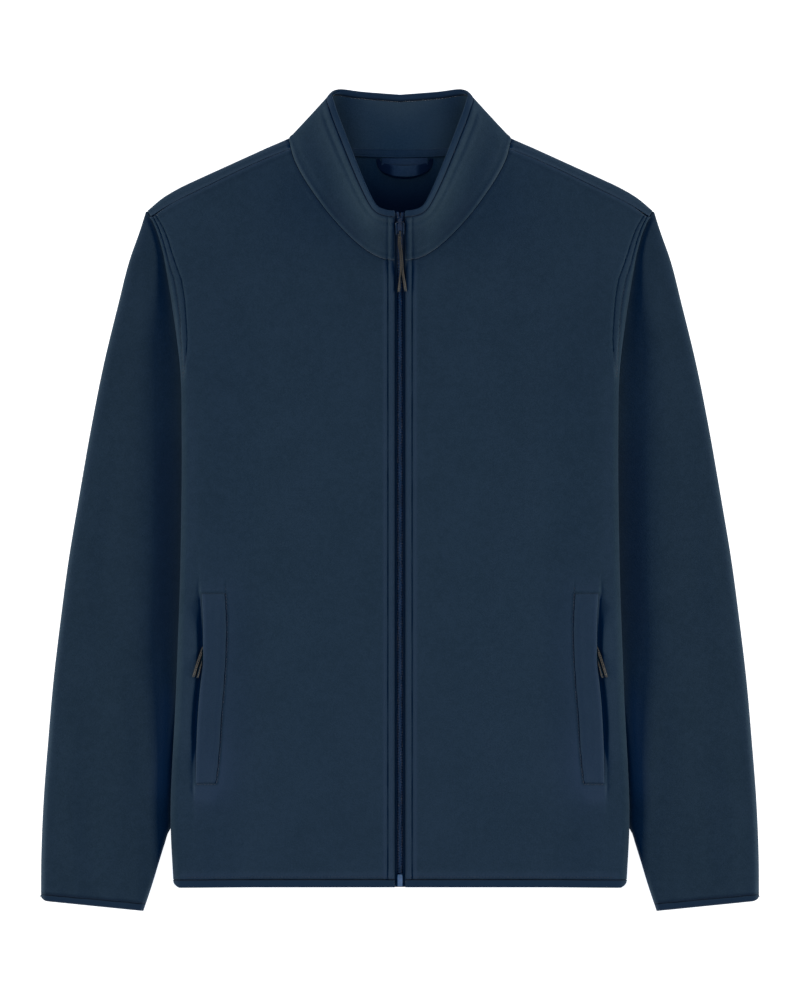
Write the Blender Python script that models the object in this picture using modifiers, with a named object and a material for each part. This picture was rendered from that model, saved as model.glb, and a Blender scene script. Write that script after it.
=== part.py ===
"""A fleece zip jacket laid flat on its back: fronts, back, sleeves, stand collar, bindings, zips.

Tables and sizes are in millimetres, the model is in metres. +X is the wearer's left, +Y runs from
the hem to the collar, +Z is up. "h" is the height above the hem, measured along the table.
"""
import math

import bmesh
import bpy
import numpy as np
from mathutils import Matrix, Vector

NAME = "fleece_zip_jacket"
MM = 0.001

# Driving dimensions, mm
HEM_Y = -372.3          # the hem's place along Y; the origin is below the middle of the jacket
GAP = 0.3               # between pieces at a seam
WALL = 2.0              # fleece of the body and sleeves
COLLAR_WALL = 2.6
BINDING_WALL = 3.0
HEM_BINDING = 7.7       # height of the stretch binding at the hem
COLLAR_BINDING = 7.0
ZIP_SLOT = 5.1          # half the slot between the two front edges
ROLL = 8.0              # how far the rounded side edge reaches in, seen from above
SEAM_IN = 40.0          # how far the side seam lies inside the side edge, on the underside
UNDERARM_H = 463.0      # height of the underarm point, on the underside
SIDE_TOP_H = 492.0      # height where the side edge meets the armhole
NECK_H = 602.0          # height of the neck seam at the centre front
FRONT_MIDDLE = 13.0     # top of the front panel away from its edges
SIDE_PUFF = 6.0         # how much higher the front stands along its side edges
SIDE_PUFF_WIDTH = 70.0
SLEEVE_HIDDEN = 5.0     # height of the sleeve's top where the body lies on it
SLEEVE_VALLEY = 5.6     # the same right beside the body's edge
SLEEVE_TOP = 11.0       # and 45 mm further out
SLEEVE_RISE = 45.0
BODY_LIFT = 6.0         # underside of the body where it lies on a sleeve
LIFT_MARGIN = 8.0
LIFT_RAMP = 30.0
SEAM_LOW = 4.6          # where the armhole edge of the front ends, beside the sleeve
SEAM_HIGH = 7.0         # the same at the side's top, where the edge turns under
SEAM_EASE = 0.5         # kept back from the neck seam by the fronts and the back

# Half width of the front from the centre, at a height above the hem
BODY_EDGE = [
    dict(h=0.0, half=216.8),
    dict(h=60.0, half=220.4),
    dict(h=180.0, half=216.4),
    dict(h=325.0, half=212.0),
    dict(h=440.0, half=210.5),
    dict(h=492.0, half=211.2),
    dict(h=541.0, half=217.2),
    dict(h=589.0, half=224.6),
    dict(h=613.0, half=228.9),
    dict(h=637.0, half=236.6),
    dict(h=649.3, half=243.0),
]
# Outer edge of the sleeve, from the shoulder point down to the cuff
SLEEVE_OUTER = [
    dict(h=648.8, half=244.3),
    dict(h=632.0, half=249.5),
    dict(h=603.0, half=259.6),
    dict(h=559.7, half=270.7),
    dict(h=501.9, half=284.7),
    dict(h=444.1, half=296.2),
    dict(h=371.9, half=308.8),
    dict(h=314.1, half=318.4),
    dict(h=256.3, half=326.1),
    dict(h=198.5, half=332.9),
    dict(h=140.7, half=337.9),
    dict(h=82.9, half=342.3),
    dict(h=25.0, half=344.6),
    dict(h=-13.5, half=344.8),
]
# Inner edge of the sleeve, from the underarm point, hidden under the body, down to the cuff
SLEEVE_INNER = [
    dict(h=463.0, half=171.0),
    dict(h=448.0, half=165.8),
    dict(h=430.0, half=160.8),
    dict(h=400.0, half=158.0),
    dict(h=318.0, half=168.5),
    dict(h=205.0, half=188.0),
    dict(h=120.0, half=205.0),
    dict(h=54.0, half=222.8),
    dict(h=10.6, half=236.5),
    dict(h=-22.5, half=246.6),
]
# Back armhole, on the underside, from the underarm point to the shoulder point
BACK_ARMHOLE = [
    dict(h=463.0, half=171.0),
    dict(h=480.0, half=182.5),
    dict(h=506.0, half=192.5),
    dict(h=545.0, half=203.0),
    dict(h=590.0, half=214.0),
    dict(h=625.0, half=226.0),
    dict(h=646.8, half=240.8),
]
# Shoulder: the fold seen from above, and the seam that lies forward of it, with the strip's height
SHOULDER = [
    dict(fold_x=106.5, fold_h=719.5, seam_x=104.5, seam_h=709.8, top=15.0),
    dict(fold_x=132.0, fold_h=708.3, seam_x=129.5, seam_h=700.0, top=13.0),
    dict(fold_x=160.0, fold_h=695.6, seam_x=155.5, seam_h=688.2, top=12.3),
    dict(fold_x=186.0, fold_h=683.8, seam_x=181.0, seam_h=675.8, top=11.5),
    dict(fold_x=207.0, fold_h=674.2, seam_x=203.0, seam_h=665.3, top=10.3),
    dict(fold_x=224.0, fold_h=665.4, seam_x=221.5, seam_h=655.8, top=9.0),
    dict(fold_x=242.6, fold_h=650.0, seam_x=239.6, seam_h=644.6, top=7.2),
]
# Collar, outer face, from the centre back round the side fold to the centre front:
# the neck seam and the top edge
COLLAR = [
    dict(neck_x=0.0, neck_h=702.0, neck_z=0.2, top_x=0.0, top_h=760.5, top_z=0.2),
    dict(neck_x=48.0, neck_h=704.0, neck_z=0.2, top_x=36.0, top_h=763.5, top_z=0.3),
    dict(neck_x=84.0, neck_h=709.5, neck_z=0.4, top_x=55.0, top_h=767.5, top_z=1.0),
    dict(neck_x=101.0, neck_h=716.5, neck_z=3.0, top_x=62.5, top_h=767.0, top_z=5.0),
    dict(neck_x=106.5, neck_h=719.5, neck_z=8.5, top_x=66.0, top_h=762.5, top_z=11.5),
    dict(neck_x=104.5, neck_h=709.8, neck_z=15.0, top_x=63.5, top_h=754.0, top_z=19.0),
    dict(neck_x=100.5, neck_h=697.0, neck_z=17.2, top_x=59.5, top_h=742.0, top_z=23.0),
    dict(neck_x=91.5, neck_h=680.0, neck_z=18.4, top_x=53.5, top_h=726.0, top_z=27.5),
    dict(neck_x=78.0, neck_h=660.0, neck_z=19.3, top_x=46.5, top_h=707.0, top_z=33.5),
    dict(neck_x=64.0, neck_h=642.0, neck_z=20.0, top_x=37.5, top_h=684.0, top_z=42.0),
    dict(neck_x=47.0, neck_h=624.0, neck_z=20.8, top_x=28.0, top_h=662.0, top_z=51.0),
    dict(neck_x=32.0, neck_h=611.5, neck_z=21.5, top_x=22.0, top_h=652.5, top_z=55.8),
    dict(neck_x=18.0, neck_h=604.2, neck_z=22.0, top_x=13.5, top_h=648.6, top_z=58.6),
    dict(neck_x=5.1, neck_h=602.0, neck_z=22.0, top_x=5.1, top_h=647.5, top_z=59.0),
]
# Height of the front along the centre front
CENTRE_FRONT = [
    dict(h=0.0, z=12.4),
    dict(h=120.0, z=13.0),
    dict(h=500.0, z=13.4),
    dict(h=560.0, z=16.4),
    dict(h=602.0, z=22.0),
]
# Stations down the sleeve: heights of its outer and inner ends, and how much it follows the armhole
SLEEVE_STATIONS = [
    dict(outer_h=648.8, inner_h=463.0, armhole=1.0),
    dict(outer_h=622.0, inner_h=456.0, armhole=1.05),
    dict(outer_h=590.0, inner_h=448.0, armhole=0.98),
    dict(outer_h=550.0, inner_h=438.0, armhole=0.8),
    dict(outer_h=505.0, inner_h=426.0, armhole=0.55),
    dict(outer_h=455.0, inner_h=408.0, armhole=0.3),
    dict(outer_h=396.0, inner_h=374.0, armhole=0.1),
    dict(outer_h=332.0, inner_h=318.0, armhole=0.0),
    dict(outer_h=268.0, inner_h=260.0, armhole=0.0),
    dict(outer_h=204.0, inner_h=198.0, armhole=0.0),
    dict(outer_h=140.0, inner_h=134.0, armhole=0.0),
    dict(outer_h=84.0, inner_h=76.0, armhole=0.0),
    dict(outer_h=36.0, inner_h=28.0, armhole=0.0),
    dict(outer_h=-6.3, inner_h=-15.4, armhole=0.0),
]
CUFF = dict(outer_h=-13.5, inner_h=-22.5)
# The left pocket's welt: outer (opening) edge and inner (stitched) edge, from the top down
WELT = [
    dict(h=283.0, outer=190.6, inner=167.0),
    dict(h=250.0, outer=189.4, inner=167.6),
    dict(h=205.0, outer=189.3, inner=168.4),
    dict(h=179.0, outer=192.5, inner=170.2),
    dict(h=140.0, outer=195.0, inner=172.6),
    dict(h=100.2, outer=197.0, inner=175.6),
]
WELT_THICK = 2.2
WELT_RISE = 4.6         # underside of the welt above the front, at its opening edge
POCKET_TAPE = 0.8
POCKET_SLIDER = dict(h=236.0, length=8.0, width=5.2, thick=1.9)

# The front zip
TAPE_OUT = 10.5         # outer edge of a tape from the centre
TAPE_IN = 2.7
TAPE_DEEP = 3.6         # top of the tape below the front's face
TAPE_THICK = 0.8
CHAIN_HALF = 2.3
CHAIN_TOP = 0.9
CHAIN_THICK = 2.6
TAPE_START_H = 1.0
CHAIN_START_H = 12.8
CHAIN_END_H = 633.0
STOP_HALF = 2.4         # the box that the zip ends in, at the hem
STOP_HS = (1.0, 12.4)
SLIDER_H = 640.0
SLIDER_SIZE = (8.6, 10.4, 3.4)
EAR_IN = 2.0            # inner face of the ears that hold the tab's pin
EAR_THICK = 1.1
PIN_R = 0.7
PIN_ABOVE = 2.3         # pin's axis above the slider's top
KNUCKLE_R = 1.9
KNUCKLE_BORE = 1.1
KNUCKLE_WIDTH = 3.2
TAB_LENGTH = 13.5
TAB_WIDTH = 4.6
TAB_THICK = 1.3
EYE_FROM_END = 2.6
EYE_R = 1.3
LACE_R = 1.2
BIGHT_R = 0.85          # the doubled lace is squeezed where it goes through the eye

# Two tails of the lace on the front zip, from the tab's eye down over the front
LACE_LEFT = [(0.8, 625.0, 43.8), (0.7, 616.0, 37.0), (1.1, 608.0, 31.0), (2.0, 599.0, 26.0),
             (2.9, 590.0, 23.4), (3.9, 581.0, 21.6), (5.0, 572.5, 20.3)]
LACE_RIGHT = [(-1.8, 625.0, 43.8), (-1.9, 616.0, 37.0), (-1.5, 608.0, 31.0), (-0.7, 599.0, 25.8),
              (-0.6, 590.0, 23.0), (-1.2, 581.0, 20.9), (-1.8, 571.5, 19.4)]

# The lace tails of a pocket's slider: x, h and height above the front
POCKET_LACE_A = [(188.4, 231.2, 2.8), (190.6, 226.0, 2.8), (193.2, 219.0, 2.4),
                 (195.9, 210.5, 1.9), (198.2, 202.0, 1.8)]
POCKET_LACE_B = [(185.2, 231.2, 2.8), (187.2, 226.0, 2.8), (189.4, 219.0, 2.7),
                 (191.8, 210.5, 2.6), (193.8, 201.5, 2.3)]

NAVY = dict(colour=(0.012, 0.026, 0.047), roughness=0.95, metallic=0.0)
BINDING_NAVY = dict(colour=(0.009, 0.019, 0.036), roughness=0.8, metallic=0.0)
ZIP_NAVY = dict(colour=(0.006, 0.012, 0.026), roughness=0.45, metallic=0.0)
SLIDER_NAVY = dict(colour=(0.008, 0.014, 0.028), roughness=0.35, metallic=0.6)
LACE_BROWN = dict(colour=(0.035, 0.022, 0.013), roughness=0.7, metallic=0.0)


# Curves and heights

def column(rows, key):
    return np.array([row[key] for row in rows], dtype=float)


def smooth(t):
    t = np.clip(t, 0.0, 1.0)
    return t * t * (3.0 - 2.0 * t)


def through(xs, ys, at):
    """A smooth curve through the points: cubic pieces with the slopes of their neighbours."""
    order = np.argsort(xs)
    xs, ys = xs[order], ys[order]
    slope = np.gradient(ys, xs)
    at = np.asarray(at, dtype=float)
    inside = np.clip(at, xs[0], xs[-1])
    i = np.clip(np.searchsorted(xs, inside) - 1, 0, len(xs) - 2)
    step = xs[i + 1] - xs[i]
    t = (inside - xs[i]) / step
    value = ((2 * t**3 - 3 * t**2 + 1) * ys[i] + (t**3 - 2 * t**2 + t) * step * slope[i]
             + (3 * t**2 - 2 * t**3) * ys[i + 1] + (t**3 - t**2) * step * slope[i + 1])
    return value + (at - inside) * np.where(at > inside, slope[-1], slope[0])


def body_edge(h):
    return through(column(BODY_EDGE, "h"), column(BODY_EDGE, "half"), h)


def sleeve_outer(h):
    return through(column(SLEEVE_OUTER, "h"), column(SLEEVE_OUTER, "half"), h)


def sleeve_inner(h):
    return through(column(SLEEVE_INNER, "h"), column(SLEEVE_INNER, "half"), h)


def centre_front_z(h):
    return through(column(CENTRE_FRONT, "h"), column(CENTRE_FRONT, "z"), h)


def under_seam(h):
    """How much of the wrapped side there is: 1 below the underarm point, 0 above the side's top."""
    return np.clip((SIDE_TOP_H - h) / (SIDE_TOP_H - UNDERARM_H), 0.0, 1.0)


def lift(x, h):
    """Height of the body's underside: on the table, and up over the sleeve that lies under it."""
    heights = np.concatenate([[SIDE_TOP_H], column(SLEEVE_INNER, "h")[:-2]])
    halves = np.concatenate([[body_edge(SIDE_TOP_H)], column(SLEEVE_INNER, "half")[:-2]])
    x, h = np.broadcast_arrays(np.asarray(x, float), np.asarray(h, float))
    away = np.full(x.shape, 1e9)
    for k in range(len(heights) - 1):
        dx, dh = halves[k + 1] - halves[k], heights[k + 1] - heights[k]
        t = np.clip(((x - halves[k]) * dx + (h - heights[k]) * dh) / (dx * dx + dh * dh), 0, 1)
        away = np.minimum(away, np.hypot(x - halves[k] - t * dx, h - heights[k] - t * dh))
    order = np.argsort(heights)
    border = np.interp(h, heights[order], halves[order])
    within = (x > border) & (h < SIDE_TOP_H) & (h > heights[-1])
    clear = np.where(within, 0.0, np.maximum(away - LIFT_MARGIN, 0.0))
    return BODY_LIFT * smooth(1.0 - clear / LIFT_RAMP)


def front_top(x, h):
    """Top of the front below the armholes: flat, a little higher along the sides."""
    near_side = smooth(1.0 - (body_edge(h) - ROLL - x) / SIDE_PUFF_WIDTH)
    near_zip = smooth(1.0 - (x - ZIP_SLOT) / 60.0)
    middle = FRONT_MIDDLE + (centre_front_z(h) - FRONT_MIDDLE) * near_zip
    return middle + SIDE_PUFF * near_side


def sleeve_top(x, h):
    """Top of a sleeve: pressed flat under the body, in a valley beside it, full further out."""
    out = x - body_edge(np.clip(h, 0.0, 649.3))
    near_shoulder = smooth((h - 600.0) / 50.0)
    rise = SLEEVE_HIDDEN + (SLEEVE_VALLEY - SLEEVE_HIDDEN) * smooth((out + 8.0) / 8.0)
    rise = rise + (SLEEVE_TOP - SLEEVE_VALLEY) * smooth(out / SLEEVE_RISE) * (1 - 0.35 * near_shoulder)
    return rise + 1.2 * near_shoulder * (1 - smooth(out / SLEEVE_RISE))


def coons(bottom, top, left, right):
    """A patch between four border curves; bottom and top run across, left and right run up."""
    u = np.linspace(0, 1, bottom.shape[0])[None, :, None]
    v = np.linspace(0, 1, left.shape[0])[:, None, None]
    ruled = (1 - v) * bottom[None] + v * top[None] + (1 - u) * left[:, None] + u * right[:, None]
    corners = ((1 - u) * (1 - v) * bottom[0] + u * (1 - v) * bottom[-1]
               + (1 - u) * v * top[0] + u * v * top[-1])
    return ruled - corners


def resample(points, count):
    """The same number of points for every border: spaced evenly along a polyline."""
    step = np.linalg.norm(np.diff(points, axis=0), axis=1)
    along = np.concatenate([[0], np.cumsum(step)])
    at = np.linspace(0, along[-1], count)
    return np.stack([np.interp(at, along, points[:, k]) for k in range(points.shape[1])], axis=1)


def neck_edge(rows):
    """The panels' side of the neck seam: kept a little away from the collar."""
    neck, top = collar_ring("neck", rows), collar_ring("top", rows)
    away = neck - top
    return neck + away / np.linalg.norm(away, axis=1, keepdims=True) * SEAM_EASE


def collar_ring(edge, rows):
    """Points of the collar's neck seam or top edge, at fractional rows of COLLAR."""
    at = np.arange(len(COLLAR), dtype=float)
    parts = [through(at, column(COLLAR, f"{edge}_{axis}"), rows) for axis in ("x", "h", "z")]
    return np.stack(parts, axis=1)


# The body

ROWS_LOW = np.array([8.0, 45, 90, 150, 215, 285, 355, 415, 463, 478, 492])
FLAT_COLUMNS = 8
ROLL_ANGLES = np.radians([30, 60, 90])
STRIP_STEPS = np.array([0.5, 1.0])
CENTRE_HS = (492.0, 548.0)
FRONT_NECK_ROWS = np.array([13, 12.1, 11.3, 9.8, 8, 6.4, 5])
BACK_CENTRE_HS = (463.0, 530.0, 600.0, 660.0)
BACK_NECK_ROWS = np.array([0, 0.6, 1.3, 2, 2.6, 3.1])
ROWS_HIGH = len(CENTRE_HS) + len(FRONT_NECK_ROWS)


def side_roll(h, top_x, top_z, edge):
    """From the top of the side's round edge, down and under to the side seam or armhole."""
    sigma = under_seam(h)
    tuck = ROLL * sigma
    deep_x = edge - tuck
    wrapped = h < SIDE_TOP_H
    low = lift(deep_x, h) if wrapped else 0.0
    if h > UNDERARM_H:
        low = max(float(low), SEAM_LOW + (SEAM_HIGH - SEAM_LOW) * (1 - smooth((h - SIDE_TOP_H) / 36.0)))
    middle = (top_z + low) / 2 if wrapped else low + 1.5
    points = []
    for angle in ROLL_ANGLES:
        x = top_x + (edge - top_x) * math.sin(angle)
        points.append((x, h, middle + (top_z - middle) * math.cos(angle)))
    for angle in ROLL_ANGLES:
        x = edge - tuck * (1 - math.cos(angle))
        points.append((x, h, middle - (middle - low) * math.sin(angle)))
    for step in STRIP_STEPS:
        x = deep_x - (SEAM_IN - ROLL) * sigma * step
        z = low if h > UNDERARM_H else lift(x, h)
        points.append((x, h, z if wrapped else z - 0.3 * step))
    return np.array(points, dtype=float)


def front_row(h):
    """One level row of a front, from the zip slot across and under to the side seam."""
    edge = float(body_edge(h))
    xs = np.linspace(ZIP_SLOT, edge - ROLL, FLAT_COLUMNS)
    flat = np.stack([xs, np.full_like(xs, h), front_top(xs, h)], axis=1)
    return np.concatenate([flat, side_roll(h, flat[-1, 0], flat[-1, 2], edge)])


def front_panel_points():
    low = [front_row(h) for h in ROWS_LOW]
    start = low[-1][:FLAT_COLUMNS]
    # borders of the upper part: centre front then neckline, armhole, shoulder seam
    centre = [(ZIP_SLOT, h, front_top(ZIP_SLOT, h)) for h in CENTRE_HS]
    left = np.concatenate([np.array(centre), neck_edge(FRONT_NECK_ROWS)])
    seam = np.stack([column(SHOULDER, "seam_x"), column(SHOULDER, "seam_h") - 3 * GAP,
                     column(SHOULDER, "top")], axis=1)
    end_h = seam[-1, 1]
    hs = np.linspace(SIDE_TOP_H, end_h, ROWS_HIGH)
    t = (hs - SIDE_TOP_H) / (end_h - SIDE_TOP_H)
    roll = ROLL + (3.2 - ROLL) * smooth((t - 0.75) / 0.25)
    top_z = start[-1, 2] + (seam[-1, 2] - start[-1, 2]) * smooth(t)
    right = np.stack([body_edge(hs) - roll, hs, top_z], axis=1)
    seam[-1, 0] = right[-1, 0]
    left[-1] = seam[0]
    patch = coons(start, resample(seam, FLAT_COLUMNS), left, right)
    high = [np.concatenate([row, side_roll(row[-1, 1], row[-1, 0], row[-1, 2],
                                           float(body_edge(row[-1, 1])))]) for row in patch[1:]]
    return np.array(low + high)


def back_row(h, count=9):
    """One level row of the back's underside, from the centre back to the side seam."""
    seam = float(body_edge(h)) - SEAM_IN
    xs = np.linspace(0.0, seam - 2 * GAP, count)
    return np.stack([xs, np.full_like(xs, h), lift(xs, h)], axis=1)


def back_panel_points():
    count = 9
    low = [back_row(h, count) for h in ROWS_LOW[:9]]
    start = low[-1]
    centre = [(0.0, h, float(lift(0.0, h))) for h in BACK_CENTRE_HS]
    neck = neck_edge(BACK_NECK_ROWS)
    neck[0, 0] = 0.0
    left = np.concatenate([np.array(centre), neck])
    fold = np.stack([column(SHOULDER, "fold_x"), column(SHOULDER, "fold_h")], axis=1)
    seam = np.stack([column(SHOULDER, "seam_x"), column(SHOULDER, "seam_h")], axis=1)
    top = column(SHOULDER, "top")
    fold, seam, top = (resample(np.column_stack([a, b]), count) for a, b in
                       ((fold, top), (seam, top), (seam, top)))
    into = seam[:, :2] - fold[:, :2]
    height = fold[:, 2]

    def across(share, z):
        return np.column_stack([fold[:, :2] + into * share, z])

    under = across(0.6, np.zeros(count))
    under[0] = neck[-1]
    arm = np.column_stack([through(column(BACK_ARMHOLE, "h"), column(BACK_ARMHOLE, "half"),
                                   np.linspace(UNDERARM_H, under[-1, 1], ROWS_HIGH + 1)),
                           np.linspace(UNDERARM_H, under[-1, 1], ROWS_HIGH + 1)])
    right = np.column_stack([arm, lift(arm[:, 0], arm[:, 1])])
    right[:, 0] -= 2 * GAP
    right[0], right[-1] = start[-1], under[-1]
    patch = coons(start, under, left, right)
    patch[1:-1, :, 2] = np.maximum(patch[1:-1, :, 2], 0.0)
    wrap = [across(0.18, height * 0.14), across(0.0, height * 0.5), across(0.18, height * 0.86),
            across(0.55, height), across(1.0, height)]
    ring = neck_edge(np.array([3.6, 4.05, 4.5, 4.75, 5]))
    for row, point in zip(wrap, ring):
        row[0] = point
    return np.array(low + list(patch[1:]) + wrap)


# The sleeves

TOP_END_H = 644.6       # the armhole end of the shoulder seam
RING_TOP = np.array([244.3, 648.8])


def armhole_front():
    """The sleeve's side of the armhole: down the front's edge, then under to the underarm."""
    hs = np.concatenate([np.linspace(TOP_END_H, SIDE_TOP_H, ROWS_HIGH), [478.0, UNDERARM_H]])
    x = body_edge(hs) + GAP - SEAM_IN * under_seam(hs)
    return np.concatenate([[RING_TOP], np.column_stack([x, hs])])


def armhole_back():
    hs = np.linspace(646.8, UNDERARM_H, ROWS_HIGH + 1)
    x = through(column(BACK_ARMHOLE, "h"), column(BACK_ARMHOLE, "half"), hs) + 2 * GAP
    points = np.concatenate([[RING_TOP], np.column_stack([x, hs])])
    points[-1] = armhole_front()[-1]
    return points


def shares_of(points):
    """How far along its line each point is; more points where the ring folds at its ends."""
    step = np.linalg.norm(np.diff(points, axis=0), axis=1)
    length = np.concatenate([[0], np.cumsum(step)])
    return np.unique(np.concatenate([length / length[-1], [0.006, 0.984, 0.995]]))


FRONT_STEPS = shares_of(armhole_front())
BACK_STEPS = shares_of(armhole_back())[-2:0:-1]


def along(points, shares):
    step = np.linalg.norm(np.diff(points, axis=0), axis=1)
    length = np.concatenate([[0], np.cumsum(step)])
    at = np.asarray(shares) * length[-1]
    return np.stack([np.interp(at, length, points[:, k]) for k in range(2)], axis=1)


def sleeve_ring(station):
    """One closed ring of a sleeve's outer face: the top layer outwards in, then the lower back."""
    outer = np.array([sleeve_outer(station["outer_h"]), station["outer_h"]])
    inner = np.array([sleeve_inner(station["inner_h"]), station["inner_h"]])
    follow = station["armhole"]
    layers = []
    for hole, shares in ((armhole_front(), FRONT_STEPS), (armhole_back(), BACK_STEPS)):
        t = shares[:, None]
        chord = outer + (inner - outer) * t
        bend = along(hole, shares) - (hole[0] + (hole[-1] - hole[0]) * t)
        plan = chord + bend * follow
        width = np.linalg.norm(inner - outer)
        top = sleeve_top(plan[:, 0], plan[:, 1])
        near = np.minimum(shares * width / 6.0, (1 - shares) * width / 4.0)
        closing = np.sqrt(1 - (1 - np.clip(near, 0, 1)) ** 2)
        half = top / 2
        z = half + half * closing if shares is FRONT_STEPS else half - half * closing
        layers.append(np.column_stack([plan, z]))
    return np.concatenate(layers)


def cuff_rings():
    last = SLEEVE_STATIONS[-1]
    start = dict(last, outer_h=last["outer_h"] - GAP, inner_h=last["inner_h"] - GAP)
    end = dict(outer_h=CUFF["outer_h"], inner_h=CUFF["inner_h"], armhole=0.0)
    return np.array([sleeve_ring(start), sleeve_ring(end)])


# Making solids

collection = bpy.data.collections.new(NAME)
materials = {}


def clear_scene():
    for old in list(bpy.data.objects):
        bpy.data.objects.remove(old, do_unlink=True)


def material(node, look):
    mat = bpy.data.materials.new(node)
    mat.use_nodes = True
    shader = mat.node_tree.nodes["Principled BSDF"]
    shader.inputs["Base Color"].default_value = (*look["colour"], 1.0)
    shader.inputs["Roughness"].default_value = look["roughness"]
    shader.inputs["Metallic"].default_value = look["metallic"]
    return mat


def add_object(name, mesh, look):
    obj = bpy.data.objects.new(name, mesh)
    collection.objects.link(obj)
    obj.data.materials.append(material(name, look))
    return obj


def world(points, side=1):
    """Table millimetres (x, h, z) to metres in the jacket's frame."""
    out = np.array(points, dtype=float)
    out[..., 0] *= side
    out[..., 1] += HEM_Y
    return out * MM


def grid_mesh(name, grids, closed=False):
    """Quads between neighbouring rows of points; grids that share a border are welded there."""
    bm = bmesh.new()
    for grid in grids:
        rows = [[bm.verts.new(p) for p in row] for row in grid]
        for low, high in zip(rows[:-1], rows[1:]):
            last = len(low) if closed else len(low) - 1
            for i in range(last):
                j = (i + 1) % len(low)
                bm.faces.new((low[i], low[j], high[j], high[i]))
    bmesh.ops.remove_doubles(bm, verts=bm.verts, dist=1e-6)
    mesh = bpy.data.meshes.new(name)
    bm.to_mesh(mesh)
    bm.free()
    return mesh


def cloth(name, grids, thick, look, flip=False, closed=False):
    """An open sheet of the outer face, thickened inwards."""
    mesh = grid_mesh(name, grids, closed)
    if flip:
        mesh.flip_normals()
    obj = add_object(name, mesh, look)
    wall = obj.modifiers.new("wall", "SOLIDIFY")
    wall.thickness = thick * MM
    wall.offset = -1.0
    mesh.shade_smooth()
    return obj


def mirrored(points):
    out = np.array(points)
    out[..., 0] *= -1
    return out


SIDES = (("left", 1), ("right", -1))


def make_fronts():
    points = front_panel_points()
    for word, side in SIDES:
        cloth(f"front_{word}", [world(points, side)], WALL, NAVY, flip=side < 0)


def make_back():
    half = world(back_panel_points())
    cloth("back_panel", [half[:, ::-1], mirrored(half)], WALL, NAVY)


def make_sleeves():
    points = np.array([sleeve_ring(station) for station in SLEEVE_STATIONS])
    cuff = cuff_rings()
    for word, side in SIDES:
        cloth(f"sleeve_{word}", [world(points, side)], WALL, NAVY, flip=side < 0, closed=True)
        cloth(f"cuff_binding_{word}", [world(cuff, side)], WALL, BINDING_NAVY,
              flip=side < 0, closed=True)


COLLAR_ROWS = np.concatenate([BACK_NECK_ROWS, [3.6, 4.05, 4.5], FRONT_NECK_ROWS[::-1]])


def collar_points(low, high, count):
    """Rows of the collar between two distances: from the neck seam, and from the top edge."""
    neck = collar_ring("neck", COLLAR_ROWS)
    top = collar_ring("top", COLLAR_ROWS)
    length = np.linalg.norm(top - neck, axis=1, keepdims=True)
    start = low / length if low >= 0 else 1 + low / length
    end = 1 - high / length
    shares = np.linspace(0, 1, count)[:, None, None]
    return neck + (top - neck) * (start + (end - start) * shares)


def both_halves(rows):
    """A half from the centre back to the centre front, and its mirror, in one row."""
    other = np.array(rows)
    other[..., 0] *= -1
    return np.concatenate([other[:, ::-1], rows[:, 1:]], axis=1)


def make_collar():
    body = both_halves(collar_points(GAP, COLLAR_BINDING + 6 * GAP, 4))
    band = both_halves(collar_points(-COLLAR_BINDING, 0.0, 2))
    cloth("collar", [world(body)], COLLAR_WALL, NAVY, flip=True)
    cloth("collar_binding", [world(band)], COLLAR_WALL, BINDING_NAVY, flip=True)


def make_hem_binding():
    rows = []
    for h in (0.0, HEM_BINDING):
        front = front_row(h)
        back = back_row(h)[::-1]
        rows.append(np.concatenate([front, back[1:]]))
    rows = np.array(rows)
    other = np.array(rows)[:, ::-1]
    other[..., 0] *= -1
    cloth("hem_binding", [world(np.concatenate([rows, other[:, 1:]], axis=1))], BINDING_WALL,
          BINDING_NAVY)


# The zip

def zip_path(start_h, end_h):
    """The centre front's line (h, z) of the jacket's face, up the body and up the collar."""
    body = [(h, float(centre_front_z(h))) for h in np.linspace(start_h, NECK_H - 6, 14)]
    neck, top = collar_ring("neck", [13.0])[0], collar_ring("top", [13.0])[0]
    for share in (0.0, 0.14, 0.4, 0.7, 1.0):
        body.append((neck[1] + (top[1] - neck[1]) * share, neck[2] + (top[2] - neck[2]) * share))
    path = np.array(body)
    path = path[path[:, 0] < end_h]
    last_z = neck[2] + (top[2] - neck[2]) * (end_h - neck[1]) / (top[1] - neck[1])
    return np.concatenate([path, [[end_h, last_z]]])


def sunk(path, depth):
    """The line moved into the jacket by a depth, square to the line."""
    run = np.gradient(path, axis=0)
    run /= np.linalg.norm(run, axis=1, keepdims=True)
    normal = np.column_stack([-run[:, 1], run[:, 0]])
    return path - normal * depth


def strip(name, path, x_low, x_high, depth, thick, look):
    line = sunk(path, depth)
    grid = np.array([[(x, h, z) for x in (x_low, x_high)] for h, z in line])
    return cloth(name, [world(grid)], thick, look)


def make_zip():
    whole = zip_path(TAPE_START_H, 647.3)
    strip("zip_tape_left", whole, TAPE_IN, TAPE_OUT, TAPE_DEEP, TAPE_THICK, ZIP_NAVY)
    strip("zip_tape_right", whole, -TAPE_OUT, -TAPE_IN, TAPE_DEEP, TAPE_THICK, ZIP_NAVY)
    strip("zip_chain", zip_path(CHAIN_START_H, CHAIN_END_H), -CHAIN_HALF, CHAIN_HALF,
          CHAIN_TOP, CHAIN_THICK, ZIP_NAVY)
    top = float(centre_front_z(0.0)) - 0.2
    low = np.array([-STOP_HALF, STOP_HS[0] + HEM_Y, top - CHAIN_THICK - 0.8])
    high = np.array([STOP_HALF, STOP_HS[1] + HEM_Y, top])
    add_object("zip_stop", box_mesh("zip_stop", low, high, 0.4), SLIDER_NAVY)


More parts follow.
